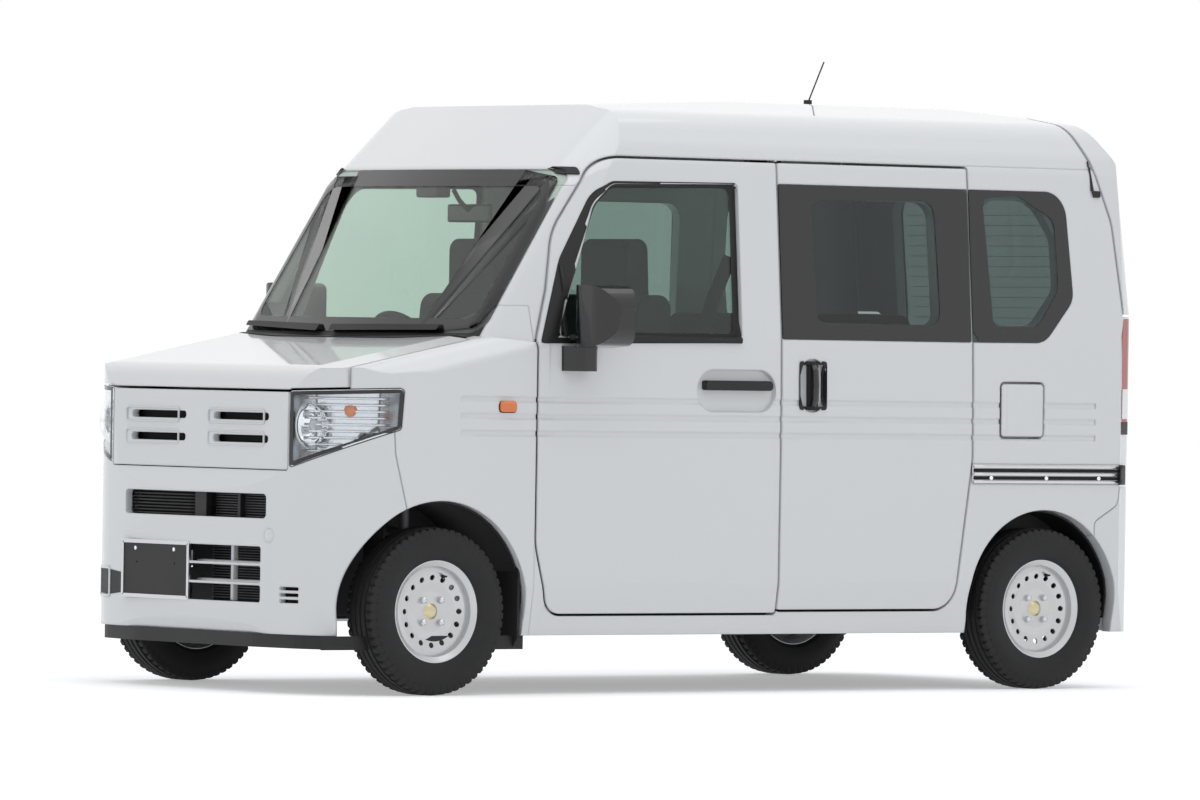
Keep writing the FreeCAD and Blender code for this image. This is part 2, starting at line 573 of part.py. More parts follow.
for y in (-194 - 105, -194 + 105):
    plate = plate.cut(Part.makeCylinder(3, 40, Vector(NOSE - 20, y, 400), Vector(1, 0, 0)))
bumper = bumper.cut(prism_x(inset(PLATE, -SEAT), NOSE - 12 - SEAT, NOSE + 50))

# Wings.
WING_TOP = SCREEN_BASE + 96
wing_space = box(DOOR_FRONT_X + HALF_GAP, NOSE, PILLAR_HALF, FAR, S.body_bottom - 1, WING_TOP)
wing = nose_shell.common(wing_space).cut(prism_y(inset(BUMPER, -S.seam_gap), -FAR, FAR))
wing = wing.cut(door_opening).cut(front_arch).cut(screen_hole)

# Side panels: sill, pillars and rear quarter.
bumper_space = prism_y(inset(REAR_BUMPER, -S.seam_gap), -FAR, FAR)
sliding_opening = left_prism(opened(SLIDING_DOOR))
side = shell.common(box(TAIL - 10, NOSE, 300, FAR, 0, TOP)).cut(roof_space).cut(door_opening)
side = side.cut(sliding_opening).cut(gate_opening).cut(bumper_space).cut(rear_arch).cut(screen_hole)
side = side.cut(box(DOOR_FRONT_X + HALF_GAP, 2 * NOSE, -FAR, FAR, -100, WING_TOP))
side = side.cut(cowl_space)
side = side.cut(left_prism(QUARTER_WINDOW))
side = side.cut(pocket(left_prism(inset(QUARTER_GLASS, -1.5)), GLASS_BACK + SEAT))
lamp_region = prism_y(TAIL_LAMP, GATE_HALF + S.door_gap + 4, 2 * HALF)
side = side.cut(pocket(prism_y(inset(TAIL_LAMP, -1.5), GATE_HALF + S.door_gap + 2, 2 * HALF), 24 + SEAT))
tail_lamp = layer(0, 24, lamp_region)
side = side.cut(pocket(left_prism(inset(SLIDE_RAIL, -1)), 6))
slide_rail = layer(-2, 6 - SEAT, left_prism(SLIDE_RAIL))
side_right = mirrored(side)
rear_bumper = shell.common(prism_y(REAR_BUMPER, -FAR, FAR)).cut(gate_opening)
rear_bumper = rear_bumper.cut(rear_arch).cut(mirrored(rear_arch))

# Fuel lid in the left side, hinged at its front edge in a pocket of the side panel.
LID_AXIS = Vector(LID_FRONT - HALF_GAP - 16, HALF - 9, 930)
side_left = side.cut(pocket(left_prism(opened(FUEL_LID)), 40))
fuel_lid = layer(0, 16, left_prism(closed(FUEL_LID)))
fuel_lid = fuel_lid.cut(cabin_at(3).common(box(LID_AXIS.x - 8, 0, 600, HALF, 800, 1100)))
for z in (-50, 50):
    point = LID_AXIS + Vector(0, 0, z)
    side_left = side_left.fuse(placed(hinge_arm(26, 30, 0.5), point, Vector(1, 0, 0), Vector(0, -1, 0)))
    fuel_lid = fuel_lid.fuse(placed(hinge_ears(8, 0.5), point, Vector(1, 0, 0), Vector(0, -1, 0)))

# Front doors, hinged at the front edge on cranked arms from the frame.
DOOR_AXIS = Vector(DOOR_FRONT - S.door_pin_back, HALF - S.door_pin_deep, 0)
door = shell.common(left_prism(closed(FRONT_DOOR))).cut(left_prism(FRONT_WINDOW))
skin_volume = cabin_at(S.door_skin).fuse(nose_volume(S.door_skin))
door = door.cut(skin_volume.common(box(DOOR_AXIS.x - 14, NOSE, HALF / 2, FAR, 0, S.belt_height - 10)))
door_slot = layer(18 - SEAT, 22 + SEAT, left_prism(inset(FRONT_WINDOW, -14 - SEAT)))
door = door.cut(door_slot)
door_glass = layer(18, 22, left_prism(inset(FRONT_WINDOW, -14)))
door = door.cut(pocket(left_prism(HANDLE_POCKET), 16))
handle = layer(-10, 2, left_prism(HANDLE_BAR))
for x in (MIDDLE_SEAM + 43, MIDDLE_SEAM + 290):
    handle = handle.fuse(layer(0, 16, left_prism(rectangle(x, S.belt_height - 166, 30, 32, 8))))
DOOR_HINGES = (480, 900)
arms = None
for z in DOOR_HINGES:
    point = Vector(DOOR_AXIS.x, DOOR_AXIS.y, z)
    door = door.fuse(placed(hinge_ears(14), point, Vector(1, 0, 0), Vector(0, -1, 0)))
    arm = placed(hinge_arm(56, 90), point, Vector(1, 0, 0), Vector(0, -1, 0))
    arms = arm if arms is None else arms.fuse(arm)

# Sliding doors: shut, held by two guides behind the rear edge.
sliding = shell.common(left_prism(closed(SLIDING_DOOR))).cut(left_prism(SLIDING_WINDOW))
sliding = sliding.cut(pocket(left_prism(inset(SLIDING_GLASS, -1.5)), GLASS_BACK + SEAT))
sliding = sliding.cut(pocket(left_prism(SLIDE_POCKET), 14))
for z in (780, 890):
    inner_y = HALF - S.cabin_wall
    sliding = sliding.fuse(box(SLIDE_REAR - 44, SLIDE_REAR + 21, inner_y - 14, inner_y - SEAT, z, z + 40))
    sliding = sliding.fuse(box(SLIDE_REAR + 6, SLIDE_REAR + 21, inner_y - 14, HALF - 30, z, z + 40))
slide_handle = layer(-8, 14 - SEAT, left_prism(SLIDE_BAR))
side_glass = Part.makeCompound([
    layer(GLASS_FRONT, GLASS_BACK, left_prism(SLIDING_GLASS)),
    layer(GLASS_FRONT, GLASS_BACK, left_prism(QUARTER_GLASS)),
])
side_glass = both(side_glass)

# Mirrors on the front doors.
MIRROR_X = DOOR_FRONT_X - 188
MIRROR_LOW = S.belt_height - 32
head_front = prism_x([
    (HALF + 16, MIRROR_LOW - 6, 40), (HALF + 208, MIRROR_LOW + 8, 60), (HALF + 214, MIRROR_LOW + 196, 70),
    (HALF + 20, MIRROR_LOW + 200, 45),
], 500, 900)
head_top = prism_z([
    (MIRROR_X - 70, HALF + 8, 30), (MIRROR_X + 34, HALF + 6, 30), (MIRROR_X + 92, HALF + 60, 80),
    (MIRROR_X + 84, HALF + 204, 80), (MIRROR_X - 44, HALF + 218, 25),
], 900, TOP)
mirror_head = head_front.common(head_top)
mirror_foot = prism_z([
    (MIRROR_X - 28, HALF - 97, 0), (MIRROR_X + 110, HALF - 97, 0), (MIRROR_X + 90, HALF + 5, 20),
    (MIRROR_X + 55, HALF + 63, 20), (MIRROR_X - 10, HALF + 63, 20),
], MIRROR_LOW - 78, MIRROR_LOW + 2)
mirror_foot = mirror_foot.cut(outer)
mirror_neck = box(MIRROR_X - 4, MIRROR_X + 50, HALF + 25, HALF + 61, MIRROR_LOW - 8, MIRROR_LOW + 12)
door_mirror = mirror_head.fuse(mirror_foot.fuse(mirror_neck))

# Frame behind the nose: bulkhead, hinge pillars, rails, strut towers, cross beam and lamp backs.
BULKHEAD = FIREWALL + 10
BULKHEAD_FRONT = BULKHEAD + 25
frame = box(BULKHEAD, BULKHEAD_FRONT, -HALF + 47.5, HALF - 47.5, S.floor_top - 38, SCREEN_BASE - 60)
frame = frame.common(nose_volume(S.nose_wall + SEAT))
pillar_outer_y = HALF - S.nose_wall - SEAT
pillar = box(
    DOOR_FRONT_X + 17, BULKHEAD + 2, PILLAR_HALF, pillar_outer_y, S.floor_top + 20, S.belt_height - 30)
pillar = pillar.common(nose_volume(S.nose_wall + SEAT))
pillar = pillar.fuse(arms)
rail_box = box(BULKHEAD_FRONT - 1, NOSE - 137.5, S.rail_inner_y, S.rail_outer_y, 560, 660)
tower = box(FRONT_AXLE - 52.5, FRONT_AXLE + 52.5, S.rail_inner_y, S.steer_axis_y + 30, 636, 662)
tower = tower.fuse(Part.makeCylinder(22, 36, Vector(FRONT_AXLE, S.steer_axis_y, 602)))
tower = tower.fuse(Part.makeCylinder(8, 42, Vector(FRONT_AXLE, S.steer_axis_y, 570)))
side_frame = pillar.cut(arch(FRONT_AXLE, S.front_arch_radius + 8, S.liner_inner_y)).fuse(rail_box).fuse(tower)
lamp_back = nose_volume(LAMP_DEPTH + SEAT).cut(nose_volume(LAMP_DEPTH + 30))
LAMP_BACK_Y = LAMP_INNER + 116
lamp_back = lamp_back.common(box(
    NOSE - 297.5, NOSE, LAMP_INNER - 14, LAMP_BACK_Y, S.grille_bottom - 22, S.hood_front_height - 26))
beam = nose_volume(S.nose_wall + SEAT)
beam = beam.common(box(
    NOSE - 152.5, NOSE, -LAMP_BACK_Y, LAMP_BACK_Y, S.grille_bottom - 67, S.grille_bottom + 6))
shelf_front = HOOD_AXIS.x - 2 * S.hood_pin_back - 8  # clear of the hood's rear edge, which swings down
shelf = box(BULKHEAD_FRONT - 1, shelf_front, -600, 600, SCREEN_BASE - 90, SCREEN_BASE + 50)
shelf = shelf.common(nose_volume(S.nose_wall + SEAT))
frame = frame.fuse(side_frame).fuse(mirrored(side_frame)).fuse(beam).fuse(lamp_back).fuse(mirrored(lamp_back))
frame = frame.fuse(shelf)
liner_space = arch(FRONT_AXLE, S.front_arch_radius + SEAT, S.liner_inner_y - S.liner_thickness - SEAT)
liner_space = liner_space.common(box(0, FRONT_AXLE - 52.5, 0, FAR, 0, 620))
frame = frame.cut(liner_space).cut(mirrored(liner_space))
for y in (-300, 300):
    point = Vector(HOOD_AXIS.x, y, HOOD_AXIS.z)
    frame = frame.fuse(placed(hinge_arm(60, 245), point, Vector(-1, 0, 0), Vector(0, 0, -1)))
    hood = hood.fuse(placed(hinge_ears(14), point, Vector(-1, 0, 0), Vector(0, 0, -1)))

# Floor.
inside = cabin_at(S.cabin_wall + SEAT)
FLOOR_FRONT = BULKHEAD - 2
FLOOR_LOW = S.floor_top - S.floor_thickness
floor = inside.common(box(TAIL, FLOOR_FRONT, -HALF + 52.5, HALF - 52.5, FLOOR_LOW, S.floor_top))
floor = floor.fuse(inside.common(box(TAIL, SLIDE_REAR - 14, -FAR, FAR, FLOOR_LOW, S.floor_top)))
sill_ends = (SLIDE_REAR + 16, DOOR_FRONT_X - 8)
sill = inside.common(box(*sill_ends, HALF - 127.5, FAR, S.body_bottom + 10, S.body_bottom + 58))
sill = sill.fuse(box(*sill_ends, HALF - 127.5, HALF - 87.5, S.body_bottom + 10, S.floor_top - 20))
beam_side = box(TAIL + 57.5, FIREWALL, 306, 334, S.floor_top - 92, S.floor_top - 20)
floor = floor.fuse(sill).fuse(mirrored(sill)).fuse(beam_side).fuse(mirrored(beam_side))
for x in (FIREWALL - 450, MIDDLE_SEAM - 15, SLIDE_REAR - 94, TAIL + 97.5):
    floor = floor.fuse(box(x, x + 50, -320, 320, S.floor_top - 90, S.floor_top - 20))
wheel_space = arch(REAR_AXLE + 10, S.rear_arch_radius + SEAT, REAR_INNER_Y - S.liner_thickness - SEAT)
floor = floor.cut(wheel_space).cut(mirrored(wheel_space))
pillar_side = rectangle(MIDDLE_SEAM - 65, S.floor_top, 130, DRIP + 22 - S.floor_top, 0)
middle_pillar = layer(52, 82, prism_y(pillar_side, HALF / 2, FAR))
pillar_head = prism_y(rectangle(MIDDLE_SEAM - 65, DRIP + 6, 130, 56, 0), HALF / 2, FAR)
middle_pillar = middle_pillar.fuse(layer(S.cabin_wall + SEAT, 82, pillar_head))

# Wheel liners, open below.
ARCH_Z = S.tyre_radius + S.arch_raise


def across(radius, x, y, z):
    """A round bar that runs outwards from y, square to the side."""
    return Part.makeCylinder(radius, FAR, Vector(x, y, z), Vector(0, 1, 0))


def liner(x, radius, inner_y, inside_volume, hole):
    """A wheel's liner on the left side, with a hole for what carries the wheel."""
    ring = across(radius, x, inner_y - S.liner_thickness, ARCH_Z)
    ring = ring.cut(across(radius - S.liner_thickness, x, inner_y, ARCH_Z))
    ring = ring.cut(across(hole, x, 0, ARCH_Z))
    ring = ring.cut(box(x - 2 * radius, x + 2 * radius, 0, FAR, -100, ARCH_Z - 40))
    ring = ring.cut(box(x - hole, x + hole, 0, inner_y + 0.1, -100, ARCH_Z))
    return ring.common(inside_volume).common(box(x - 2 * radius, x + 2 * radius, 0, HALF - 21.5, 0, TOP))


front_liner = liner(FRONT_AXLE, S.front_arch_radius, S.liner_inner_y, nose_volume(S.nose_wall + SEAT), 262)
front_liner = front_liner.cut(Part.makeCylinder(32, 400, Vector(FRONT_AXLE, S.steer_axis_y, 400)))
rear_liner = liner(REAR_AXLE + 10, S.rear_arch_radius, REAR_INNER_Y, inside, 60)

# Cabin fittings.
DASH_FRONT = BULKHEAD - SEAT
DASH_TOP = SCREEN_BASE - 58
DASH = [  # x, z, radius
    (DASH_FRONT, DASH_TOP - 352, 0), (DASH_FRONT, DASH_TOP - 2, 0), (DASH_FRONT - 200, DASH_TOP, 60),
    (DASH_FRONT - 305, DASH_TOP - 72, 60), (DASH_FRONT - 292, DASH_TOP - 232, 80),
    (DASH_FRONT - 190, DASH_TOP - 332, 60),
]
dash = prism_y(DASH, -HALF + 102.5, HALF - 102.5)
WHEEL_CENTRE = Vector(DASH_FRONT - 400, -360, DASH_TOP - 32)
COLUMN = Vector(0.866, 0, -0.5)
column = Part.makeCylinder(22, 330, WHEEL_CENTRE, COLUMN)
dash = dash.cut(Part.makeCylinder(22 + SEAT, 330 + SEAT, WHEEL_CENTRE, COLUMN))
rim_ring = Part.makeTorus(178, 13, WHEEL_CENTRE, COLUMN)
spoke_bar = Part.makeBox(12, 344, 34, Vector(-6, -172, -17))
spoke_bar.Placement = FreeCAD.Placement(WHEEL_CENTRE, FreeCAD.Rotation(Vector(1, 0, 0), COLUMN))
wheel_hub = Part.makeCylinder(45, 24, WHEEL_CENTRE - COLUMN * 4, COLUMN)
steering = column.fuse(rim_ring).fuse(wheel_hub).fuse(spoke_bar)

SEAT_BASE = [(290, 400, 20), (600, 400, 20), (640, 560, 40), (700, 650, 50), (690, 726, 45), (330, 700, 30)]
SEAT_BACK = [(300, 640, 30), (420, 640, 30), (345, 1290, 50), (215, 1290, 50), (235, 1000, 300)]
HEAD_REST = [(222, 1270, 20), (318, 1270, 20), (318, 1470, 40), (232, 1475, 40)]
ON_FLOOR = Vector(0, 0, S.floor_top - 400)  # the seats' outlines stand on a floor 400 high
seat = prism_y(SEAT_BASE, 120, 600).fuse(prism_y(SEAT_BACK, 126, 594)).fuse(prism_y(HEAD_REST, 240, 480))
seat = seat.translated(ON_FLOOR)
BENCH = [  # x, z, radius
    (-760, 400, 20), (-330, 400, 20), (-260, 520, 30), (-250, 670, 50), (-640, 640, 30), (-700, 1240, 50),
    (-800, 1240, 50),
]
bench = prism_y(BENCH, -590, 590).translated(ON_FLOOR)

# Wipers lie on the windscreen; the aerial stands on the roof.
WIPERS = (  # y, height over the windscreen's base, radius
    [(-610, 22, 6), (-130, 8, 6), (-130, 30, 6), (-610, 38, 6)],
    [(-60, 10, 6), (470, 16, 6), (470, 34, 6), (-60, 30, 6)],
)
wipers = []
for outline in WIPERS:
    wipers.append(layer(-16, 0, ahead([(y, SCREEN_BASE + rise, r) for y, rise, r in outline])))
AERIAL_X = REAR_AXLE + S.aerial_ahead
aerial = Part.makeCylinder(14, 26, Vector(AERIAL_X, 0, TOP - 10)).cut(outer)
aerial_dir = Vector(-71, 0, 148).normalize()
aerial_foot = Vector(AERIAL_X, 0, TOP + 6)
aerial = aerial.fuse(Part.makeCylinder(S.aerial_radius, S.aerial_length, aerial_foot, aerial_dir))


def register(label, shape):
    """Adds a finished piece to the document and the export list."""
    feature = doc.addObject("Part::Feature", label)
    feature.Label = label
    feature.Shape = shape
    feature.Placement = FreeCAD.Placement(SHIFT, FreeCAD.Rotation())
    NODES[label] = feature


PANELS = {
    "side_panel_left": side_left, "side_panel_right": side_right, "roof": roof, "windscreen": windscreen,
    "cowl": cowl, "front_frame": frame, "floor_pan": floor, "middle_pillars": both(middle_pillar),
    "front_bumper": bumper, "grille": grille, "wings": both(wing), "headlamps": both(housing),
    "headlamp_lenses": both(lens), "front_plate": plate, "rear_bumper": rear_bumper,
    "tail_lamps": both(tail_lamp), "side_glass": side_glass, "slide_rails": both(slide_rail),
    "wheel_liners": Part.makeCompound([both(front_liner), both(rear_liner)]),
    "sliding_door_left": sliding, "sliding_door_right": mirrored(sliding),
    "sliding_handles": both(slide_handle),
    "dashboard": dash, "steering_wheel": steering, "front_seats": both(seat), "rear_seat": bench,
    "wipers": Part.makeCompound(wipers), "aerial": aerial,
    "front_door_left": door, "front_door_right": mirrored(door), "door_glass_left": door_glass,
    "door_glass_right": mirrored(door_glass), "mirror_left": door_mirror,
    "mirror_right": mirrored(door_mirror),
    "handle_left": handle, "handle_right": mirrored(handle), "hood": hood, "tailgate": gate,
    "tailgate_glass": gate_glass, "fuel_lid": fuel_lid,
}
for label, shape in PANELS.items():
    register(label, shape)


# Running gear, as primitives and bodies bound to the sheet.
ALONG_Y = FreeCAD.Rotation(Vector(1, 0, 0), -90)
ALONG_X = FreeCAD.Rotation(Vector(0, 1, 0), 90)


def primitive(kind, label, expressions, rotation=None):
    """A primitive whose sizes and place are expressions on the sheet."""
    feature = doc.addObject(kind, label)
    feature.Label = label
    if rotation is not None:
        feature.Placement = FreeCAD.Placement(Vector(0, 0, 0), rotation)
    for name, expression in expressions.items():
        feature.setExpression(name, expression)
    return feature


def block(label, x, y, z, length, width, height):
    return primitive("Part::Box", label, {
        "Length": length, "Width": width, "Height": height,
        "Placement.Base.x": x, "Placement.Base.y": y, "Placement.Base.z": z,
    })


def round_bar(label, x, y, z, radius, length, rotation=None):
    return primitive("Part::Cylinder", label, {
        "Radius": radius, "Height": length,
        "Placement.Base.x": x, "Placement.Base.y": y, "Placement.Base.z": z,
    }, rotation)


def fused(label, pieces):
    feature = doc.addObject("Part::MultiFuse", label)
    feature.Label = label
    feature.Shapes = pieces
    return feature


def cut_from(label, base, tool):
    feature = doc.addObject("Part::Cut", label)
    feature.Label = label
    feature.Base = base
    feature.Tool = tool
    return feature


FLOOR_UNDER = "sizes.floor_top - sizes.floor_thickness - sizes.seat_clearance"
FRONT_X = "(sizes.wheelbase + sizes.rear_overhang - sizes.front_overhang) / 2"
REAR_X = "(sizes.rear_overhang - sizes.wheelbase - sizes.front_overhang) / 2"
AXLE_Z = "sizes.tyre_radius"

NODES["engine"] = fused("engine", [
    block("engine_block", f"{FRONT_X} - sizes.engine_back", "-sizes.engine_width / 2", "sizes.engine_low",
          "sizes.engine_length", "sizes.engine_width", "sizes.engine_height"),
    block("engine_mounts", f"{FRONT_X} - sizes.engine_back + 60",
          "-sizes.rail_inner_y + sizes.seat_clearance", "575", "50",
          "2 * (sizes.rail_inner_y - sizes.seat_clearance)", "30"),
])
NODES["fuel_tank"] = block(
    "fuel_tank", f"{REAR_X} + sizes.tank_ahead", "-sizes.tank_width / 2",
    f"{FLOOR_UNDER} - sizes.tank_height",
    "sizes.tank_length", "sizes.tank_width", "sizes.tank_height")
hangers = []
for index, x in enumerate((f"{FRONT_X} - 422.5", f"{REAR_X} + 1027.5", f"{REAR_X} - 202.5")):
    hangers.append(block(
        f"pipe_hanger_{index}", x, "sizes.pipe_y - 8", "sizes.pipe_z", "12", "16",
        f"{FLOOR_UNDER} - sizes.pipe_z"))
NODES["exhaust"] = fused("exhaust", [
    round_bar("exhaust_pipe", f"{REAR_X} - 312.5", "sizes.pipe_y", "sizes.pipe_z", "sizes.pipe_radius",
              "sizes.wheelbase - 70", ALONG_X),
    round_bar("silencer", f"{REAR_X} + 637.5", "sizes.pipe_y", "sizes.pipe_z - 32", "sizes.silencer_radius",
              "320", ALONG_X),
] + hangers)

axle = [
    round_bar("axle_beam", REAR_X, "-570", AXLE_Z, "sizes.axle_radius", "1140", ALONG_Y),
    round_bar("axle_spindles", REAR_X, "-sizes.track / 2 - 24", AXLE_Z, "sizes.spindle_radius",
              "sizes.track + 48", ALONG_Y),
]
for side_name, sign in (("left", 1), ("right", -1)):
    centre = f"{sign} * sizes.spring_y - sizes.spring_width / 2"
    axle.append(round_bar(f"rear_drum_{side_name}", REAR_X, "595" if sign > 0 else "-650", AXLE_Z,
                          "105", "55", ALONG_Y))
    axle.append(block(f"spring_{side_name}", f"{REAR_X} - 330", centre, f"{AXLE_Z} + sizes.axle_radius - 3",
                      "660", "sizes.spring_width", "14"))
    for end, offset in (("front", 300), ("rear", -330)):
        axle.append(block(
            f"shackle_{side_name}_{end}", f"{REAR_X} + {offset}", centre, f"{AXLE_Z} + sizes.axle_radius",
            "30", "sizes.spring_width",
            f"{FLOOR_UNDER} - sizes.tyre_radius - sizes.axle_radius"))
NODES["rear_axle"] = fused("rear_axle", axle)

arm_pieces = []
for side_name, sign in (("left", 1), ("right", -1)):
    low = f"{sign} * sizes.steer_axis_y"
    arm_start = "345" if sign > 0 else "-sizes.steer_axis_y - 14"
    arm_pieces.append(fused(f"lower_arm_{side_name}", [
        block(f"arm_post_{side_name}", f"{FRONT_X} - 22", "345" if sign > 0 else "-395", "168", "44", "50",
              "391.7"),
        block(f"arm_bar_{side_name}", f"{FRONT_X} - 20", arm_start, "168", "40",
              "sizes.steer_axis_y + 14 - 345", "22"),
        round_bar(f"arm_pin_{side_name}", FRONT_X, low, "175", "8", "41"),
    ]))
    spindle_start = "sizes.steer_axis_y" if sign > 0 else "-sizes.track / 2 - 24"
    knuckle = fused(f"knuckle_body_{side_name}", [
        round_bar(f"strut_{side_name}", FRONT_X, low, "300", "16", "298"),
        round_bar(f"upright_{side_name}", FRONT_X, low, "200", "28", "140"),
        round_bar(f"spindle_{side_name}", FRONT_X, spindle_start, AXLE_Z, "sizes.spindle_radius",
                  "sizes.track / 2 + 24 - sizes.steer_axis_y", ALONG_Y),
        round_bar(f"brake_{side_name}", FRONT_X, "595" if sign > 0 else "-650", AXLE_Z, "105", "55", ALONG_Y),
        round_bar(f"hub_{side_name}", FRONT_X, "540" if sign > 0 else "-600", AXLE_Z, "40", "60", ALONG_Y),
    ])
    bores = fused(f"knuckle_bores_{side_name}", [
        round_bar(f"upper_bore_{side_name}", FRONT_X, low, "566", "8 + sizes.bearing_clearance", "40"),
        round_bar(f"lower_bore_{side_name}", FRONT_X, low, "195", "8 + sizes.bearing_clearance", "25"),
    ])
    NODES[f"knuckle_{side_name}"] = cut_from(f"knuckle_{side_name}", knuckle, bores)
arms_pair = doc.addObject("Part::Compound", "lower_arms")
arms_pair.Label = "lower_arms"
arms_pair.Links = arm_pieces
NODES["lower_arms"] = arms_pair

# Wheel profiles, as corners of (radius: name, offset), (across: value) from the wheel's inner side.
TYRE_PROFILE = [
    (("rim_radius", 0.3), 30), (("flange_radius", 1), 23.5), (("flange_radius", 16), 12),
    (("tyre_radius", -43), 3), (("tyre_radius", -14), 8), (("tyre_radius", -4), 18), (("tyre_radius", 0), 38),
    (("tyre_radius", 0), 114), (("tyre_radius", -4), 134), (("tyre_radius", -14), 144),
    (("tyre_radius", -43), 149), (("flange_radius", 16), 140), (("flange_radius", 1), 128.5),
    (("rim_radius", 0.3), 122),
]
RIM_PROFILE = [
    (("flange_radius", 0), 18), (("flange_radius", 0), 22.5), (("rim_radius", 0), 29),
    (("rim_radius", 0), 123),
    (("flange_radius", 0), 129.5), (("flange_radius", 0), 134), (("rim_radius", 8), 134),
    (("rim_radius", -7), 124), (("rim_radius", -9), 112), (("rim_radius", -26), 116),
    (("rim_radius", -60), 106), (("rim_radius", -88), 108), (("spindle_radius", 10), 104),
    (("spindle_radius", 0.05), 104), (("spindle_radius", 0.05), 97), (("rim_radius", -88), 101),
    (("rim_radius", -60), 99), (("rim_radius", -28), 109), (("rim_radius", -6), 103),
    (("rim_radius", -6), 28), (("rim_radius", 10), 18),
]
TYRE_MIDDLE = 76


def revolved_body(label, profile, x, side_sign):
    """A body turned about the wheel's axis; its profile's radii are bound to the sheet."""
    wheel = doc.addObject("PartDesign::Body", label)
    wheel.Label = label
    sketch = wheel.newObject("Sketcher::SketchObject", label + "_profile")
    sketch.AttachmentSupport = [(wheel.Origin.OriginFeatures[3], "")]
    sketch.MapMode = "FlatFace"
    points = [Vector(float(sheet.get(name)) + offset, across, 0) for (name, offset), across in profile]
    count = len(points)
    for index, point in enumerate(points):
        sketch.addGeometry(Part.LineSegment(point, points[(index + 1) % count]))
    for index, ((name, offset), across) in enumerate(profile):
        sketch.addConstraint(Sketcher.Constraint("Coincident", index, 2, (index + 1) % count, 1))
    for index, ((name, offset), across) in enumerate(profile):
        row = sketch.addConstraint(Sketcher.Constraint("DistanceX", -1, 1, index, 1, points[index].x))
        sketch.setExpression(f"Constraints[{row}]", f"sizes.{name} + {offset}")
        sketch.addConstraint(Sketcher.Constraint("DistanceY", -1, 1, index, 1, across))
    turned = wheel.newObject("PartDesign::Revolution", label + "_turned")
    turned.Profile = sketch
    turned.ReferenceAxis = (sketch, ["V_Axis"])
    turned.Angle = 360
    facing = FreeCAD.Rotation(Vector(0, 0, 1), 0 if side_sign > 0 else 180)
    wheel.Placement = FreeCAD.Placement(Vector(0, 0, 0), facing)
    wheel.setExpression("Placement.Base.x", x)
    wheel.setExpression("Placement.Base.y", f"{side_sign} * (sizes.track / 2 - {TYRE_MIDDLE})")
    wheel.setExpression("Placement.Base.z", "sizes.tyre_radius")
    return wheel


HOLES = 16
for corner, x, side_sign in (("front_left", FRONT_X, 1), ("front_right", FRONT_X, -1),
                             ("rear_left", REAR_X, 1), ("rear_right", REAR_X, -1)):
    NODES[f"tyre_{corner}"] = revolved_body(f"tyre_{corner}", TYRE_PROFILE, x, side_sign)
    rim = revolved_body(f"rim_{corner}", RIM_PROFILE, x, side_sign)
    hole = rim.newObject("Sketcher::SketchObject", f"hole_{corner}")
    hole.AttachmentSupport = [(rim.Origin.OriginFeatures[4], "")]
    hole.MapMode = "FlatFace"
    hole.addGeometry(Part.Circle(Vector(108, 0, 0), Vector(0, 0, 1), 9))
    hole.addConstraint(Sketcher.Constraint("PointOnObject", 0, 3, -1))
    row = hole.addConstraint(Sketcher.Constraint("DistanceX", -1, 1, 0, 3, 108))
    hole.setExpression(f"Constraints[{row}]", "sizes.rim_radius - 44")
    hole.addConstraint(Sketcher.Constraint("Radius", 0, 9))
    drilled = rim.newObject("PartDesign::Pocket", f"hole_cut_{corner}")
    drilled.Profile = hole
    drilled.Type = 1
    drilled.Midplane = True
    ring = rim.newObject("PartDesign::PolarPattern", f"hole_ring_{corner}")
    ring.Originals = [drilled]
    ring.Axis = (hole, ["N_Axis"])
    ring.Angle = 360
    ring.Occurrences = HOLES
    rim.Tip = ring
    NODES[f"rim_{corner}"] = rim

doc.recompute()
for item in doc.Objects:
    if "Invalid" in item.State or "Error" in item.State:
        raise RuntimeError(f"{item.Name} did not recompute: {item.State}")
for label, feature in NODES.items():
    if feature.Shape.isNull() or not feature.Shape.isValid():
        raise RuntimeError(f"{label} has no valid shape")
os.makedirs("parts", exist_ok=True)
for label, feature in NODES.items():
    feature.Shape.exportStep(f"parts/{label}.step")
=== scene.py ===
import json
import math

import bpy
from mathutils import Matrix, Vector
from mathutils.bvhtree import BVHTree

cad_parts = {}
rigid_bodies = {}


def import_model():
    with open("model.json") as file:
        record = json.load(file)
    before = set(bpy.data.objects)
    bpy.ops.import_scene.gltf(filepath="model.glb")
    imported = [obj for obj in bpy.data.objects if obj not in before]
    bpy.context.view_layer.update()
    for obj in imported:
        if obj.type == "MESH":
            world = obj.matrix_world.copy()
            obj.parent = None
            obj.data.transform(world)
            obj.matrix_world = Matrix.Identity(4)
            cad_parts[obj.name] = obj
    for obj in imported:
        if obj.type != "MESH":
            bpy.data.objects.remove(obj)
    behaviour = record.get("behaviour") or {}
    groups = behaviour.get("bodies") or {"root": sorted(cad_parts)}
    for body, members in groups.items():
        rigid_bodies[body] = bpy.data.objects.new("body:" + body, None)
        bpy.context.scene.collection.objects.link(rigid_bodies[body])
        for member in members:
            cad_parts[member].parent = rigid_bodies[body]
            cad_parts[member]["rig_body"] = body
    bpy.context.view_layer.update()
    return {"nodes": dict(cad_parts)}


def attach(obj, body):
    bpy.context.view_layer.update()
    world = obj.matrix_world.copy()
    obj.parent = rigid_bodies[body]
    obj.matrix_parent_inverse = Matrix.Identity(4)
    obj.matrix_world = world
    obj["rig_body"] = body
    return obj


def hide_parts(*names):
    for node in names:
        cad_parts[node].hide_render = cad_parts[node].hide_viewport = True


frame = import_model()
nodes = frame["nodes"]
LEFT, RIGHT = 1, -1
SIDES = ((LEFT, "left"), (RIGHT, "right"))
FRONT_X, REAR_X, TRACK_Y, WHEEL_Z = 1.2425, -1.2775, 0.655, 0.268


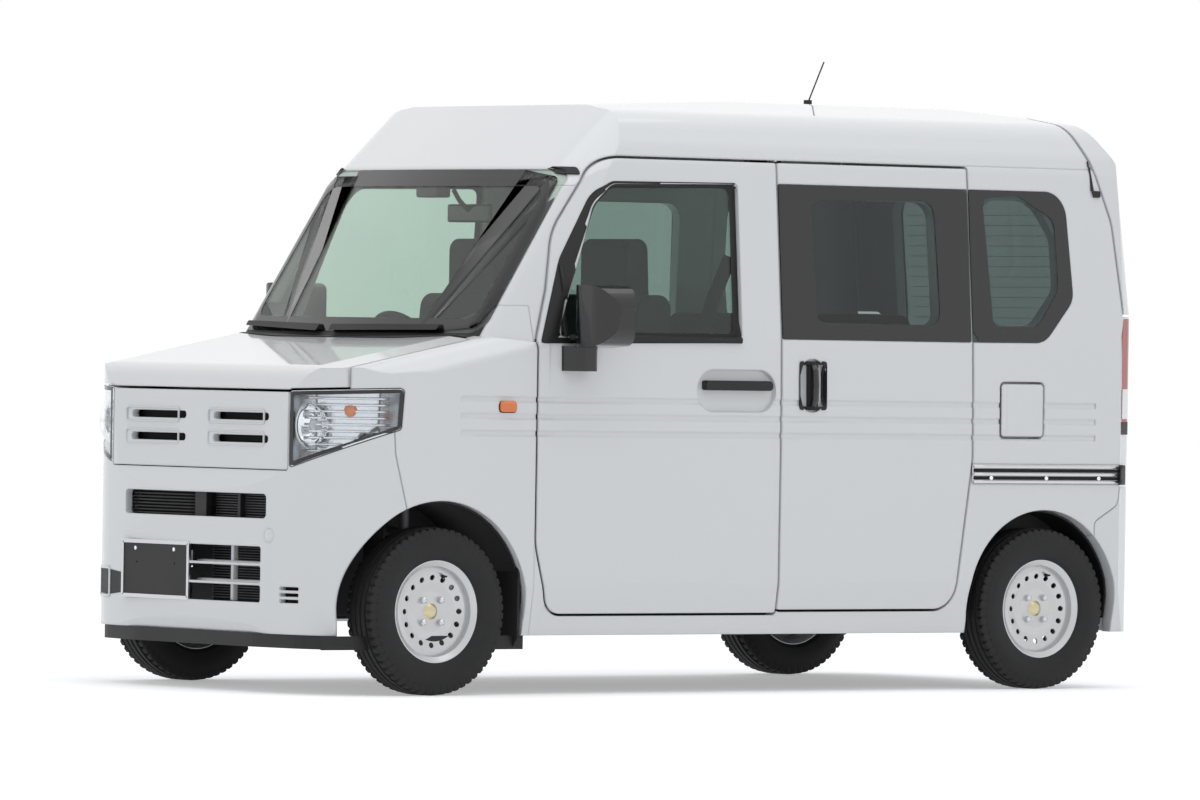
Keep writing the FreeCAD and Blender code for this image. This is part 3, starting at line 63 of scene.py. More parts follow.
# Materials.
def material(name, color, rough=0.5, metal=0.0, coat=0.0, bump=None, mottle=0.0, transmit=0.0, glow=0.0,
             soft_edge=0.0):
    """A shader. bump is (scale, strength, distance), mottle a change of gloss, soft_edge a rounding of edges."""
    made = bpy.data.materials.new(name)
    made.use_nodes = True
    tree = made.node_tree
    shader = tree.nodes["Principled BSDF"]
    values = {"Base Color": (*color, 1), "Roughness": rough, "Metallic": metal, "Coat Weight": coat,
              "Coat Roughness": 0.04, "Transmission Weight": transmit, "IOR": 1.45}
    if glow:
        values["Emission Color"] = (*color, 1)
        values["Emission Strength"] = glow
    for socket, value in values.items():
        shader.inputs[socket].default_value = value
    if bump or mottle:
        place = tree.nodes.new("ShaderNodeTexCoord")
    if bump:
        scale, strength, distance = bump
        noise = tree.nodes.new("ShaderNodeTexNoise")
        noise.inputs["Scale"].default_value = scale
        noise.inputs["Detail"].default_value = 3
        bumped = tree.nodes.new("ShaderNodeBump")
        bumped.inputs["Strength"].default_value = strength
        bumped.inputs["Distance"].default_value = distance
        tree.links.new(place.outputs["Object"], noise.inputs["Vector"])
        tree.links.new(noise.outputs["Fac"], bumped.inputs["Height"])
        tree.links.new(bumped.outputs["Normal"], shader.inputs["Normal"])
    if soft_edge:
        rounded = tree.nodes.new("ShaderNodeBevel")
        rounded.samples = 6
        rounded.inputs["Radius"].default_value = soft_edge
        tree.links.new(rounded.outputs["Normal"], (bumped if bump else shader).inputs["Normal"])
    if mottle:
        cloud = tree.nodes.new("ShaderNodeTexNoise")
        cloud.inputs["Scale"].default_value = 4
        cloud.inputs["Detail"].default_value = 5
        spread = tree.nodes.new("ShaderNodeMapRange")
        spread.inputs["To Min"].default_value = max(rough - mottle, 0.01)
        spread.inputs["To Max"].default_value = rough + mottle
        tree.links.new(place.outputs["Object"], cloud.inputs["Vector"])
        tree.links.new(cloud.outputs["Fac"], spread.inputs["Value"])
        tree.links.new(spread.outputs["Result"], shader.inputs["Roughness"])
    return made


def glass(name, tint, edge_gloss=0.6):
    """Thin glass: light passes straight through, tinted, and more is reflected the flatter it is seen."""
    made = bpy.data.materials.new(name)
    made.use_nodes = True
    tree = made.node_tree
    tree.nodes.remove(tree.nodes["Principled BSDF"])
    through = tree.nodes.new("ShaderNodeBsdfTransparent")
    through.inputs["Color"].default_value = (*tint, 1)
    gloss = tree.nodes.new("ShaderNodeBsdfGlossy")
    gloss.inputs["Color"].default_value = (1, 1, 1, 1)
    gloss.inputs["Roughness"].default_value = 0.0
    weight = tree.nodes.new("ShaderNodeLayerWeight")
    weight.inputs["Blend"].default_value = 0.5
    power = tree.nodes.new("ShaderNodeMath")
    power.operation = "POWER"
    power.inputs[1].default_value = 4.0
    share = tree.nodes.new("ShaderNodeMapRange")
    share.inputs["To Min"].default_value = 0.035
    share.inputs["To Max"].default_value = edge_gloss
    mix = tree.nodes.new("ShaderNodeMixShader")
    tree.links.new(weight.outputs["Facing"], power.inputs[0])
    tree.links.new(power.outputs["Value"], share.inputs["Value"])
    tree.links.new(share.outputs["Result"], mix.inputs["Fac"])
    tree.links.new(through.outputs["BSDF"], mix.inputs[1])
    tree.links.new(gloss.outputs["BSDF"], mix.inputs[2])
    tree.links.new(mix.outputs["Shader"], tree.nodes["Material Output"].inputs["Surface"])
    return made


paint = material("paint", (0.80, 0.815, 0.83), rough=0.3, coat=1.0, bump=(900, 0.02, 0.0003), mottle=0.03,
                 soft_edge=0.010)
plastic_white = material("plastic_white", (0.79, 0.81, 0.825), rough=0.34, coat=0.8, mottle=0.04,
                         soft_edge=0.010)
trim_black = material("trim_black", (0.012, 0.012, 0.013), rough=0.5, bump=(1400, 0.25, 0.0004), mottle=0.08)
gloss_black = material("gloss_black", (0.006, 0.006, 0.007), rough=0.16, coat=0.5, mottle=0.04)
# Near-black used as painted shade: sheets behind the front openings and bars in the rail grooves.
painted_shade_black = material("painted_shade_black", (0.004, 0.004, 0.004), rough=0.8)
rubber = material("rubber", (0.013, 0.013, 0.014), rough=0.72, bump=(500, 0.3, 0.0006), mottle=0.1)
seal = material("seal", (0.01, 0.01, 0.011), rough=0.6, mottle=0.05)
wheel_paint = material("wheel_paint", (0.58, 0.59, 0.60), rough=0.3, metal=0.75, mottle=0.06,
                       bump=(600, 0.05, 0.0003))
bare_steel = material("bare_steel", (0.62, 0.63, 0.65), rough=0.26, metal=1.0, mottle=0.08)
brass_tint = material("brass_tint", (0.62, 0.56, 0.36), rough=0.3, metal=0.9, mottle=0.08)
chrome = material("chrome", (0.86, 0.87, 0.88), rough=0.06, metal=1.0, mottle=0.03)
lamp_silver = material("lamp_silver", (0.75, 0.77, 0.79), rough=0.14, metal=0.95)
cast = material("cast", (0.16, 0.16, 0.17), rough=0.55, metal=0.6, bump=(160, 0.4, 0.001), mottle=0.1)
chassis = material("chassis", (0.02, 0.02, 0.022), rough=0.6, bump=(200, 0.3, 0.0008), mottle=0.1)
cloth = material("cloth", (0.035, 0.036, 0.04), rough=0.9, bump=(2200, 0.6, 0.0008))
cabin_grey = material("cabin_grey", (0.16, 0.165, 0.17), rough=0.75, bump=(900, 0.3, 0.0005))
headliner = material("headliner", (0.42, 0.43, 0.43), rough=0.9, bump=(1500, 0.4, 0.0004))
red_lens = material("red_lens", (0.40, 0.004, 0.006), rough=0.22, coat=0.25, mottle=0.04)
white_lens = material("white_lens", (0.7, 0.72, 0.74), rough=0.12, coat=1.0, transmit=0.2)
amber_lens = material("amber_lens", (0.85, 0.2, 0.02), rough=0.15, coat=1.0, transmit=0.1, glow=0.05)
clear_glass = glass("clear_glass", (0.86, 0.90, 0.87))
door_clear = glass("door_clear", (0.72, 0.82, 0.77))
dark_glass = glass("dark_glass", (0.50, 0.56, 0.55))
lens_clear = glass("lens_clear", (0.97, 0.98, 0.99), 0.5)


# Finding the surface of the CAD pieces, so that trim lies on it.
def tree_of(*names):
    points, faces = [], []
    for name in names:
        mesh = nodes[name].data
        start = len(points)
        points += [v.co.copy() for v in mesh.vertices]
        faces += [[start + i for i in p.vertices] for p in mesh.polygons]
    return BVHTree.FromPolygons(points, faces)


BODY_SIDE = ("side_panel_left", "side_panel_right", "sliding_door_left", "sliding_door_right",
             "front_door_left", "front_door_right", "wings", "roof", "rear_bumper", "front_bumper",
             "fuel_lid")
FAR_AHEAD, FAR_ASIDE = 3.0, 2.0
side_tree = tree_of(*BODY_SIDE)
glass_tree = tree_of("side_glass", "door_glass_left", "door_glass_right")
screen_tree = tree_of("windscreen")
front_tree = tree_of("front_bumper", "grille", "headlamp_lenses", "hood", "wings")
rear_tree = tree_of("tailgate", "tailgate_glass", "rear_bumper", "tail_lamps", "side_panel_left",
                    "side_panel_right")


def probe(tree, start, direction, lift=0.0):
    """The first point of a surface along a line, raised by lift along its normal."""
    direction = Vector(direction).normalized()
    point, normal, face, distance = tree.ray_cast(Vector(start), direction)
    if point is None:
        point, normal, face, distance = tree.find_nearest(Vector(start))
    if normal.dot(direction) > 0:
        normal = -normal
    return point + normal * lift


def on_side(side, lift=0.0, tree=side_tree):
    """The surface seen from one side, as a function of (x, z). The next three look from other sides."""
    return lambda x, z: probe(tree, (x, side * FAR_ASIDE, z), (0, -side, 0), lift)


def on_screen(lift=0.0):
    return lambda y, z: probe(screen_tree, (FAR_AHEAD, y, z), (-1, 0, 0), lift)


def on_rear(lift=0.0, tree=rear_tree):
    return lambda y, z: probe(tree, (-FAR_AHEAD, y, z), (1, 0, 0), lift)


def on_front(lift=0.0):
    return lambda y, z: probe(front_tree, (FAR_AHEAD, y, z), (-1, 0, 0), lift)


# Making pieces.
def piece(name, shape, look, body="body", smooth=False, bevel=0.0):
    """A visible piece from a shape, which is its points and faces. It moves with one CAD body."""
    points, faces = shape
    mesh = bpy.data.meshes.new(name)
    mesh.from_pydata([tuple(p) for p in points], [], faces)
    mesh.validate()
    mesh.update()
    made = bpy.data.objects.new(name, mesh)
    bpy.context.scene.collection.objects.link(made)
    mesh.materials.append(look)
    if smooth:
        mesh.polygons.foreach_set("use_smooth", [True] * len(mesh.polygons))
    if bevel:
        rounding = made.modifiers.new("edges", "BEVEL")
        rounding.width = bevel
        rounding.segments = 3
        rounding.limit_method = "ANGLE"
        mesh.polygons.foreach_set("use_smooth", [True] * len(mesh.polygons))
        made.modifiers.new("normals", "WEIGHTED_NORMAL")
    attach(made, body)
    return made


def joined(name, shapes, look, body="body", smooth=False):
    """One piece from several shapes."""
    points, faces = [], []
    for some_points, some_faces in shapes:
        start = len(points)
        points += some_points
        faces += [[start + i for i in face] for face in some_faces]
    return piece(name, (points, faces), look, body, smooth)


def slab(low, high):
    """A block between two corners, for pieces that get a bevel."""
    (x0, y0, z0), (x1, y1, z1) = low, high
    points = [Vector((x, y, z)) for z in (z0, z1) for y in (y0, y1) for x in (x0, x1)]
    return points, [[0, 2, 3, 1], [4, 5, 7, 6], [0, 1, 5, 4], [2, 6, 7, 3], [0, 4, 6, 2], [1, 3, 7, 5]]


def swept(points, radius, closed=False, sides=10, flat=1.0, up=None):
    """A round or oval bar along a line of points. flat squeezes it along up."""
    points = [Vector(p) for p in points]
    count = len(points)
    rows, guide = [], Vector(up) if up else None
    for i, point in enumerate(points):
        before = points[(i - 1) % count] if closed or i else point
        after = points[(i + 1) % count] if closed or i < count - 1 else point
        along = (after - before).normalized()
        if guide is None:
            guide = along.orthogonal().normalized()
        across = along.cross(guide).normalized()
        rise = across.cross(along).normalized()
        if up is None:
            guide = rise
        rows.append([point + (across * math.cos(a) + rise * flat * math.sin(a)) * radius
                     for a in (2 * math.pi * k / sides for k in range(sides))])
    flat_points = [p for row in rows for p in row]
    faces = []
    for i in range(count if closed else count - 1):
        j = (i + 1) % count
        faces += [[i * sides + k, i * sides + (k + 1) % sides, j * sides + (k + 1) % sides, j * sides + k]
                  for k in range(sides)]
    if not closed:
        faces += [list(range(sides))[::-1], [(count - 1) * sides + k for k in range(sides)]]
    return flat_points, faces


def lathe(profile, centre, axis, steps=48):
    """A ring or disc turned about an axis from (radius, along) pairs."""
    axis = Vector(axis).normalized()
    first = axis.orthogonal().normalized()
    second = axis.cross(first)
    points, faces = [], []
    for radius, along in profile:
        for k in range(steps):
            a = 2 * math.pi * k / steps
            out = first * math.cos(a) + second * math.sin(a)
            points.append(Vector(centre) + axis * along + out * radius)
    for i in range(len(profile) - 1):
        for k in range(steps):
            n = (k + 1) % steps
            faces.append([i * steps + k, i * steps + n, (i + 1) * steps + n, (i + 1) * steps + k])
    return points, faces


def outline(corners, per_corner=6, per_side=8):
    """Points round a closed outline of (u, v, radius) corners, always the same count for each corner."""
    count = len(corners)
    result = []
    for i, (u, v, radius) in enumerate(corners):
        here = Vector((u, v))
        before = Vector(corners[i - 1][:2]) - here
        after = Vector(corners[(i + 1) % count][:2]) - here
        half = before.angle(after) / 2
        reach = min(radius / max(math.tan(half), 1e-6), 0.48 * before.length, 0.48 * after.length)
        start = here + before.normalized() * reach
        end = here + after.normalized() * reach
        for k in range(per_corner + 1):
            t = k / per_corner
            result.append(start * (1 - t) ** 2 + here * 2 * t * (1 - t) + end * t ** 2)
        following = corners[(i + 1) % count]
        far = Vector(following[:2])
        back = -after.normalized()
        next_after = Vector(corners[(i + 2) % count][:2]) - far
        next_half = back.angle(next_after) / 2
        next_reach = min(following[2] / max(math.tan(next_half), 1e-6), 0.48 * after.length,
                         0.48 * next_after.length)
        stop = far + back * next_reach
        result += [end.lerp(stop, k / per_side) for k in range(1, per_side)]
    return result


def shrink(points, distance):
    """An outline moved inwards by distance along its own normals."""
    count = len(points)
    area = sum(points[i - 1].x * points[i].y - points[i].x * points[i - 1].y for i in range(count))
    turn = 1 if area > 0 else -1
    moved = []
    for i, point in enumerate(points):
        along = (points[(i + 1) % count] - points[i - 1]).normalized()
        moved.append(point + Vector((-along.y, along.x)) * distance * turn)
    return moved


def band(outer, inner, find, rings=4):
    """A band between two outlines laid on a surface; find gives the surface point for (u, v)."""
    count = len(outer)
    points, faces = [], []
    for r in range(rings + 1):
        for a, b in zip(outer, inner):
            flat = a.lerp(b, r / rings)
            points.append(find(flat.x, flat.y))
    for r in range(rings):
        for i in range(count):
            j = (i + 1) % count
            faces.append([r * count + i, r * count + j, (r + 1) * count + j, (r + 1) * count + i])
    return points, faces


def patch(edge, find, rings=6):
    """A filled outline laid on a surface."""
    middle = sum(edge, Vector((0, 0))) / len(edge)
    points, faces = band(edge, [point.lerp(middle, 0.9) for point in edge], find, rings)
    count = len(edge)
    points.append(find(middle.x, middle.y))
    last = rings * count
    faces += [[last + k, last + (k + 1) % count, len(points) - 1] for k in range(count)]
    return points, faces


def raised(edge, at, low, high, rings=5):
    """A pad on a surface, its top at height high and its foot at height low. at(lift) finds the surface."""
    top_points, top_faces = patch(edge, at(high), rings)
    foot = [at(low)(p.x, p.y) for p in edge]
    count = len(edge)
    start = len(top_points)
    walls = [[start + k, start + (k + 1) % count, (k + 1) % count, k] for k in range(count)]
    return top_points + foot, top_faces + walls


def frame_on(outer, inner, at, low, high, rings=3):
    """A raised frame between two outlines on a surface."""
    top_points, top_faces = band(outer, inner, at(high), rings)
    count = len(outer)
    start = len(top_points)
    foot = [at(low)(p.x, p.y) for p in outer] + [at(low)(p.x, p.y) for p in inner]
    inner_row = rings * count
    walls = []
    for k in range(count):
        n = (k + 1) % count
        walls.append([start + k, start + n, n, k])
        walls.append([start + count + k, start + count + n, inner_row + n, inner_row + k])
    return top_points + foot, top_faces + walls


def rectangle(u, v, width, height, radius):
    """The four corners of a rounded rectangle, for outline()."""
    return [(u, v, radius), (u + width, v, radius), (u + width, v + height, radius), (u, v + height, radius)]


def ribbon(points, normal, width, thick):
    """A flat strap along a line of points; normal is the way its face looks."""
    normal = Vector(normal).normalized()
    points = [Vector(p) for p in points]
    flat, faces = [], []
    for i, point in enumerate(points):
        along = (points[min(i + 1, len(points) - 1)] - points[max(i - 1, 0)]).normalized()
        across = along.cross(normal).normalized()
        for a, b in ((-1, -1), (1, -1), (1, 1), (-1, 1)):
            flat.append(point + across * a * width / 2 + normal * b * thick / 2)
    for i in range(len(points) - 1):
        for k in range(4):
            n = (k + 1) % 4
            faces.append([i * 4 + k, i * 4 + n, i * 4 + 4 + n, i * 4 + 4 + k])
    last = (len(points) - 1) * 4
    return flat, faces + [[3, 2, 1, 0], [last, last + 1, last + 2, last + 3]]


def in_outline(points, u, v):
    """Whether (u, v) lies inside a closed outline."""
    inside = False
    for i, point in enumerate(points):
        other = points[i - 1]
        if (point.y > v) != (other.y > v):
            share = (v - point.y) / (other.y - point.y)
            if u < point.x + (other.x - point.x) * share:
                inside = not inside
    return inside


# Looks of the CAD pieces.
LOOKS = {
    paint: ("side_panel_left", "side_panel_right", "roof", "wings", "sliding_door_left", "sliding_door_right",
            "front_door_left", "front_door_right", "hood", "tailgate", "fuel_lid"),
    plastic_white: ("front_bumper", "grille", "rear_bumper"),
    trim_black: ("cowl", "front_plate", "wheel_liners", "sliding_handles", "dashboard", "steering_wheel",
                 "wipers", "aerial", "fuel_tank", "handle_left", "handle_right"),
    gloss_black: ("mirror_left", "mirror_right"),
    chassis: ("front_frame", "floor_pan", "middle_pillars", "lower_arms"),
    lamp_silver: ("headlamps",),
    lens_clear: ("headlamp_lenses",),
    red_lens: ("tail_lamps",),
    clear_glass: ("windscreen",),
    door_clear: ("door_glass_left", "door_glass_right"),
    dark_glass: ("side_glass", "tailgate_glass"),
    bare_steel: ("slide_rails", "exhaust"),
    wheel_paint: ("rim_front_left", "rim_front_right", "rim_rear_left", "rim_rear_right"),
    rubber: ("tyre_front_left", "tyre_front_right", "tyre_rear_left", "tyre_rear_right"),
    cast: ("engine", "rear_axle", "knuckle_left", "knuckle_right"),
    cloth: ("front_seats", "rear_seat"),
}
BEVELS = {"dashboard": 0.012, "steering_wheel": 0.003, "front_seats": 0.03, "rear_seat": 0.03,
          "mirror_left": 0.028, "mirror_right": 0.028, "engine": 0.01, "fuel_tank": 0.012}
for look, names in LOOKS.items():
    for name in names:
        mesh = nodes[name].data
        mesh.materials.clear()
        mesh.materials.append(look)
for name, width in BEVELS.items():
    rounding = nodes[name].modifiers.new("edges", "BEVEL")
    rounding.width = width
    rounding.segments = 3
    rounding.limit_method = "ANGLE"
    rounding.angle_limit = math.radians(40)


# Finding sizes and edges of the CAD pieces.
def body_of(node):
    """The CAD body that a CAD piece moves with."""
    return nodes[node]["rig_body"]


def extent(node, side=0):
    """Lowest and highest corner of a CAD piece, or of its half on one side."""
    points = [v.co for v in nodes[node].data.vertices if side * v.co.y >= 0]
    return [Vector([pick(p[i] for p in points) for i in range(3)]) for pick in (min, max)]


def hull(points):
    """The convex outline round flat points."""
    points = sorted({(round(u, 5), round(v, 5)) for u, v in points})
    halves = []
    for line in (points, points[::-1]):
        half = []
        for p in line:
            while len(half) > 1 and ((half[-1][0] - half[-2][0]) * (p[1] - half[-2][1])
                                     - (half[-1][1] - half[-2][1]) * (p[0] - half[-2][0])) <= 0:
                half.pop()
            half.append(p)
        halves += half[:-1]
    return [Vector(p) for p in halves]


def resample(polygon, count):
    """Evenly spread points along a closed polygon."""
    steps = [(polygon[i], polygon[(i + 1) % len(polygon)]) for i in range(len(polygon))]
    total = sum((b - a).length for a, b in steps)
    result, walked = [], 0.0
    for a, b in steps:
        while len(result) < count and len(result) * total / count <= walked + (b - a).length:
            result.append(a.lerp(b, (len(result) * total / count - walked) / max((b - a).length, 1e-9)))
        walked += (b - a).length
    return result


def to_edge(polygon, inner):
    """For each inner point the point of the polygon straight out from the middle."""
    middle = sum(inner, Vector((0, 0))) / len(inner)
    result = []
    for point in inner:
        out, best = (point - middle).normalized(), 0.0
        for a, b in zip(polygon, polygon[1:] + polygon[:1]):
            edge = b - a
            cross = out.x * edge.y - out.y * edge.x
            if abs(cross) > 1e-9:
                along = ((a.x - middle.x) * edge.y - (a.y - middle.y) * edge.x) / cross
                share = ((a.x - middle.x) * out.y - (a.y - middle.y) * out.x) / cross
                if along > 0 and -1e-6 <= share <= 1 + 1e-6:
                    best = max(best, along)
        result.append(middle + out * best)
    return result


def flat_at(x):
    """A plane across the van at x, as (y, z)."""
    return lambda lift: lambda y, z: Vector((x + lift, y, z))


# Windows: black borders printed on the glass, and the frames of the front doors.
SCREEN_BORDER = ((-0.641, 1.157, 0.03), (0.641, 1.157, 0.03), (0.637, 1.687, 0.03), (-0.637, 1.687, 0.03))
SCREEN_CLEAR = ((-0.596, 1.202, 0.05), (0.596, 1.202, 0.05), (0.590, 1.634, 0.06), (-0.590, 1.634, 0.06))
SLIDING_CLEAR = ((-0.285, 1.205, 0.04), (-0.272, 1.609, 0.05), (-0.797, 1.621, 0.06), (-0.812, 1.210, 0.05))
QUARTER_CLEAR = ((-1.040, 1.205, 0.03), (-1.008, 1.635, 0.04), (-1.160, 1.645, 0.05), (-1.318, 1.568, 0.06),
                 (-1.328, 1.334, 0.08), (-1.236, 1.211, 0.05))
GATE_CLEAR = ((-0.512, 1.178, 0.05), (0.512, 1.178, 0.05), (0.487, 1.642, 0.06), (-0.487, 1.642, 0.06))
DOOR_FRAME = ((0.030, 1.138, 0.01), (0.853, 1.127, 0.01), (0.758, 1.400, 0.2), (0.628, 1.618, 0.12),
              (0.548, 1.655, 0.06), (0.031, 1.660, 0.02))
DOOR_CLEAR = ((0.056, 1.168, 0.02), (0.748, 1.166, 0.015), (0.740, 1.262, 0.1), (0.612, 1.572, 0.1),
              (0.545, 1.632, 0.06), (0.056, 1.642, 0.03))


GLASS_LIFT, MIDDLE_SEAM_X = 0.0012, -0.946


def printed_border(name, node, clear, find, side, keep=lambda corner: True, axes=(0, 2)):
    """A black border from the edge of a glass, or of its part on one side, in to its clear window."""
    inner = outline(clear)
    edge = hull([(v.co[axes[0]], v.co[axes[1]]) for v in nodes[node].data.vertices
                 if side * v.co.y >= -1e-6 and keep(v.co)])
    outer = [p.lerp(q, 0.004) for p, q in zip(to_edge(edge, inner), inner)]
    piece(name, band(outer, inner, find, 3), gloss_black, body_of(node), smooth=True)


def door_frame(side, word):
    """The black frame of a front door window, with a rubber strip under the glass and an upright bar."""
    body = body_of(f"front_door_{word}")
    tree = tree_of(f"front_door_{word}", f"door_glass_{word}")
    frame_shape = band(outline(DOOR_FRAME), outline(DOOR_CLEAR), on_side(side, 0.0015, tree), 6)
    piece(f"door_frame_{word}", frame_shape, trim_black, body, smooth=True)
    strip = [on_side(side, 0.005, tree)(x, 1.147) for x in (0.035, 0.2, 0.4, 0.6, 0.74)]
    bar = [on_side(side, 0.004, tree)(0.754, z) for z in (1.15, 1.22, 1.30, 1.38)]
    strips = [swept(strip, 0.010, sides=8, flat=0.5, up=(0, 1, 0)),
              swept(bar, 0.008, sides=8, flat=0.6, up=(0, 1, 0))]
    joined(f"door_strips_{word}", strips, seal, body, smooth=True)


screen_border = band(outline(SCREEN_BORDER), outline(SCREEN_CLEAR), on_screen(GLASS_LIFT), 3)
piece("screen_border", screen_border, gloss_black, smooth=True)
printed_border("gate_border", "tailgate_glass", GATE_CLEAR, on_rear(GLASS_LIFT), 0, axes=(1, 2))
for side, word in SIDES:
    on_glass = on_side(side, GLASS_LIFT, glass_tree)
    printed_border(f"sliding_border_{word}", "side_glass", SLIDING_CLEAR, on_glass, side,
                   lambda corner: corner.x > MIDDLE_SEAM_X)
    printed_border(f"quarter_border_{word}", "side_glass", QUARTER_CLEAR, on_glass, side,
                   lambda corner: corner.x < MIDDLE_SEAM_X)
    door_frame(side, word)


# Black caps on the roof gutter, as (x, z, length).
GUTTER_CAPS = ((0.672, 1.684, 0.05), (-1.500, 1.757, 0.045))
CAP_HEIGHT, CAP_RADIUS = 0.022, 0.006


def roof_caps(side, word):
    caps = []
    for x, z, length in GUTTER_CAPS:
        edge = outline(rectangle(x - length / 2, z - CAP_HEIGHT / 2, length, CAP_HEIGHT, CAP_RADIUS), 3, 3)
        caps.append(raised(edge, lambda lift: on_side(side, lift), -0.004, 0.006, 2))
    joined(f"gutter_caps_{word}", caps, trim_black)


# Slide rails: three bright lines, near-black bars in the grooves between them as painted shade, screws and a
# black cap at the rear.
RAIL_FRONT, RAIL_REAR, RAIL_STEPS = -0.956, -1.598, 12
RAIL_LOW, RAIL_HIGH = 0.684, 0.750
RAIL_LINES, RAIL_GROOVES = (0.742, 0.717, 0.692), (0.7295, 0.7045)
RAIL_SCREWS, SCREW_Z = (-1.030, -1.270, -1.500), 0.7045
SCREW = ((0.0, 0.006), (0.0035, 0.006), (0.007, 0.003), (0.008, 0.0))
END_CAP_LENGTH, END_CAP_OVERLAP = 0.040, 0.008
rail_tree = tree_of("slide_rails", "side_panel_left", "side_panel_right")


def slide_rail(side, word):
    on_rail = lambda lift: on_side(side, lift, rail_tree)
    xs = [RAIL_FRONT + (RAIL_REAR - RAIL_FRONT) * k / RAIL_STEPS for k in range(RAIL_STEPS + 1)]
    lines = [swept([on_rail(0.002)(x, z) for x in xs], 0.0055, sides=8, flat=0.7, up=(0, 1, 0))
             for z in RAIL_LINES]
    joined(f"rail_lines_{word}", lines, bare_steel, smooth=True)
    # Near-black bars in the two grooves: painted shade.
    groove_shades = [swept([on_rail(0.0005)(x, z) for x in xs], 0.006, sides=6, flat=0.25, up=(0, 1, 0))
               for z in RAIL_GROOVES]
    joined(f"rail_groove_shade_{word}", groove_shades, painted_shade_black, smooth=True)
    screws = [lathe(SCREW, on_rail(0.002)(x, SCREW_Z), (0, side, 0), 16) for x in RAIL_SCREWS]
    joined(f"rail_screws_{word}", screws, chrome, smooth=True)
    cap_rear = RAIL_REAR + END_CAP_OVERLAP - END_CAP_LENGTH
    cap = rectangle(cap_rear, RAIL_LOW, END_CAP_LENGTH, RAIL_HIGH - RAIL_LOW, 0.006)
    piece(f"rail_cap_{word}", raised(outline(cap, 3, 3), on_rail, -0.002, 0.008, 3), trim_black)


# Handle of the sliding door: a black frame with an upright bar, its points as (z, lift).
SLIDE_FRAME = rectangle(-0.322, 0.923, 0.113, 0.160, 0.012)
SLIDE_FRAME_WIDTH, SLIDE_BAR_X, SLIDE_BAR_RADIUS = 0.012, -0.262, 0.012
SLIDE_BAR = ((0.938, 0.002), (0.955, 0.012), (1.003, 0.015), (1.051, 0.012), (1.068, 0.002))


def sliding_handle(side, word):
    body = body_of("sliding_handles")
    tree = tree_of("sliding_handles", f"sliding_door_{word}")
    at = lambda lift: on_side(side, lift, tree)
    edge = outline(SLIDE_FRAME, 4, 4)
    ring = frame_on(edge, shrink(edge, SLIDE_FRAME_WIDTH), at, -0.002, 0.005, 2)
    piece(f"slide_frame_{word}", ring, trim_black, body)
    line = [at(lift)(SLIDE_BAR_X, z) for z, lift in SLIDE_BAR]
    bar = swept(line, SLIDE_BAR_RADIUS, sides=12, flat=0.55, up=(0, 1, 0))
    piece(f"slide_bar_{word}", bar, gloss_black, body, smooth=True)


# Amber marker lamps on the fenders, with a thin black rim.
MARKER = rectangle(0.955, 0.906, 0.066, 0.032, 0.012)
MARKER_RIM_RADIUS = 0.0018


def side_marker(side, word):
    edge = outline(MARKER, 5, 3)
    piece(f"marker_{word}", raised(edge, lambda lift: on_side(side, lift), -0.001, 0.006, 3), amber_lens)
    rim = [on_side(side, 0.001)(p.x, p.y) for p in shrink(edge, -0.0015)]
    piece(f"marker_rim_{word}", swept(rim, MARKER_RIM_RADIUS, closed=True, sides=6), trim_black, smooth=True)


# Mud flaps behind the front wheels, as (y, z), and the bright strips under the sills.
FLAP_X, FLAP_THICK = 0.925, 0.008
FLAP = ((0.57, 0.44), (0.70, 0.44), (0.722, 0.40), (0.722, 0.18), (0.70, 0.155), (0.59, 0.155), (0.57, 0.18))
SILL_XS, SILL_Y, SILL_Z, SILL_HEIGHT, SILL_THICK = (-0.93, -0.4, 0.2, 0.91), 0.668, 0.206, 0.030, 0.006


def underside_trim(side, word):
    ahead = [Vector((FLAP_X, side * y, z)) for y, z in FLAP]
    behind_it = [p - Vector((FLAP_THICK, 0, 0)) for p in ahead]
    count = len(ahead)
    faces = [list(range(count)), list(range(count, 2 * count))[::-1]]
    faces += [[k, count + k, count + (k + 1) % count, (k + 1) % count] for k in range(count)]
    piece(f"mud_flap_{word}", (ahead + behind_it, faces), rubber)
    strip = [(x, side * SILL_Y, SILL_Z) for x in SILL_XS]
    piece(f"sill_strip_{word}", ribbon(strip, (0, side, 0), SILL_HEIGHT, SILL_THICK), bare_steel)


# Door trims inside the front doors, with an arm rest and a speaker.
CARD = ((0.07, 0.40, 0.05), (0.60, 0.40, 0.20), (0.78, 0.66, 0.10), (0.80, 1.10, 0.03), (0.07, 1.11, 0.03))
CARD_THICK = 0.006
ARM_REST, ARM_REST_RADIUS = ((0.12, 0.83), (0.30, 0.84), (0.48, 0.86), (0.55, 0.88)), 0.03
SPEAKER_PLACE = (0.50, 0.58)
SPEAKER = ((0.0, 0.008), (0.05, 0.010), (0.072, 0.006), (0.075, 0.0))


def door_card(side, word):
    body = body_of(f"front_door_{word}")
    tree = tree_of(f"front_door_{word}")
    inside = lambda lift: lambda x, z: probe(tree, (x, 0, z), (0, side, 0), lift)
    piece(f"door_card_{word}", raised(outline(CARD), inside, 0.0, CARD_THICK, 6), cabin_grey, body)
    line = [inside(ARM_REST_RADIUS)(x, z) for x, z in ARM_REST]
    rest = swept(line, ARM_REST_RADIUS, sides=12, flat=0.7, up=(0, 0, 1))
    piece(f"arm_rest_{word}", rest, trim_black, body, smooth=True)
    speaker = lathe(SPEAKER, inside(CARD_THICK)(*SPEAKER_PLACE), (0, -side, 0))
    piece(f"speaker_{word}", speaker, trim_black, body, smooth=True)


for side, word in SIDES:
    roof_caps(side, word)
    slide_rail(side, word)
    sliding_handle(side, word)
    side_marker(side, word)
    underside_trim(side, word)
    door_card(side, word)


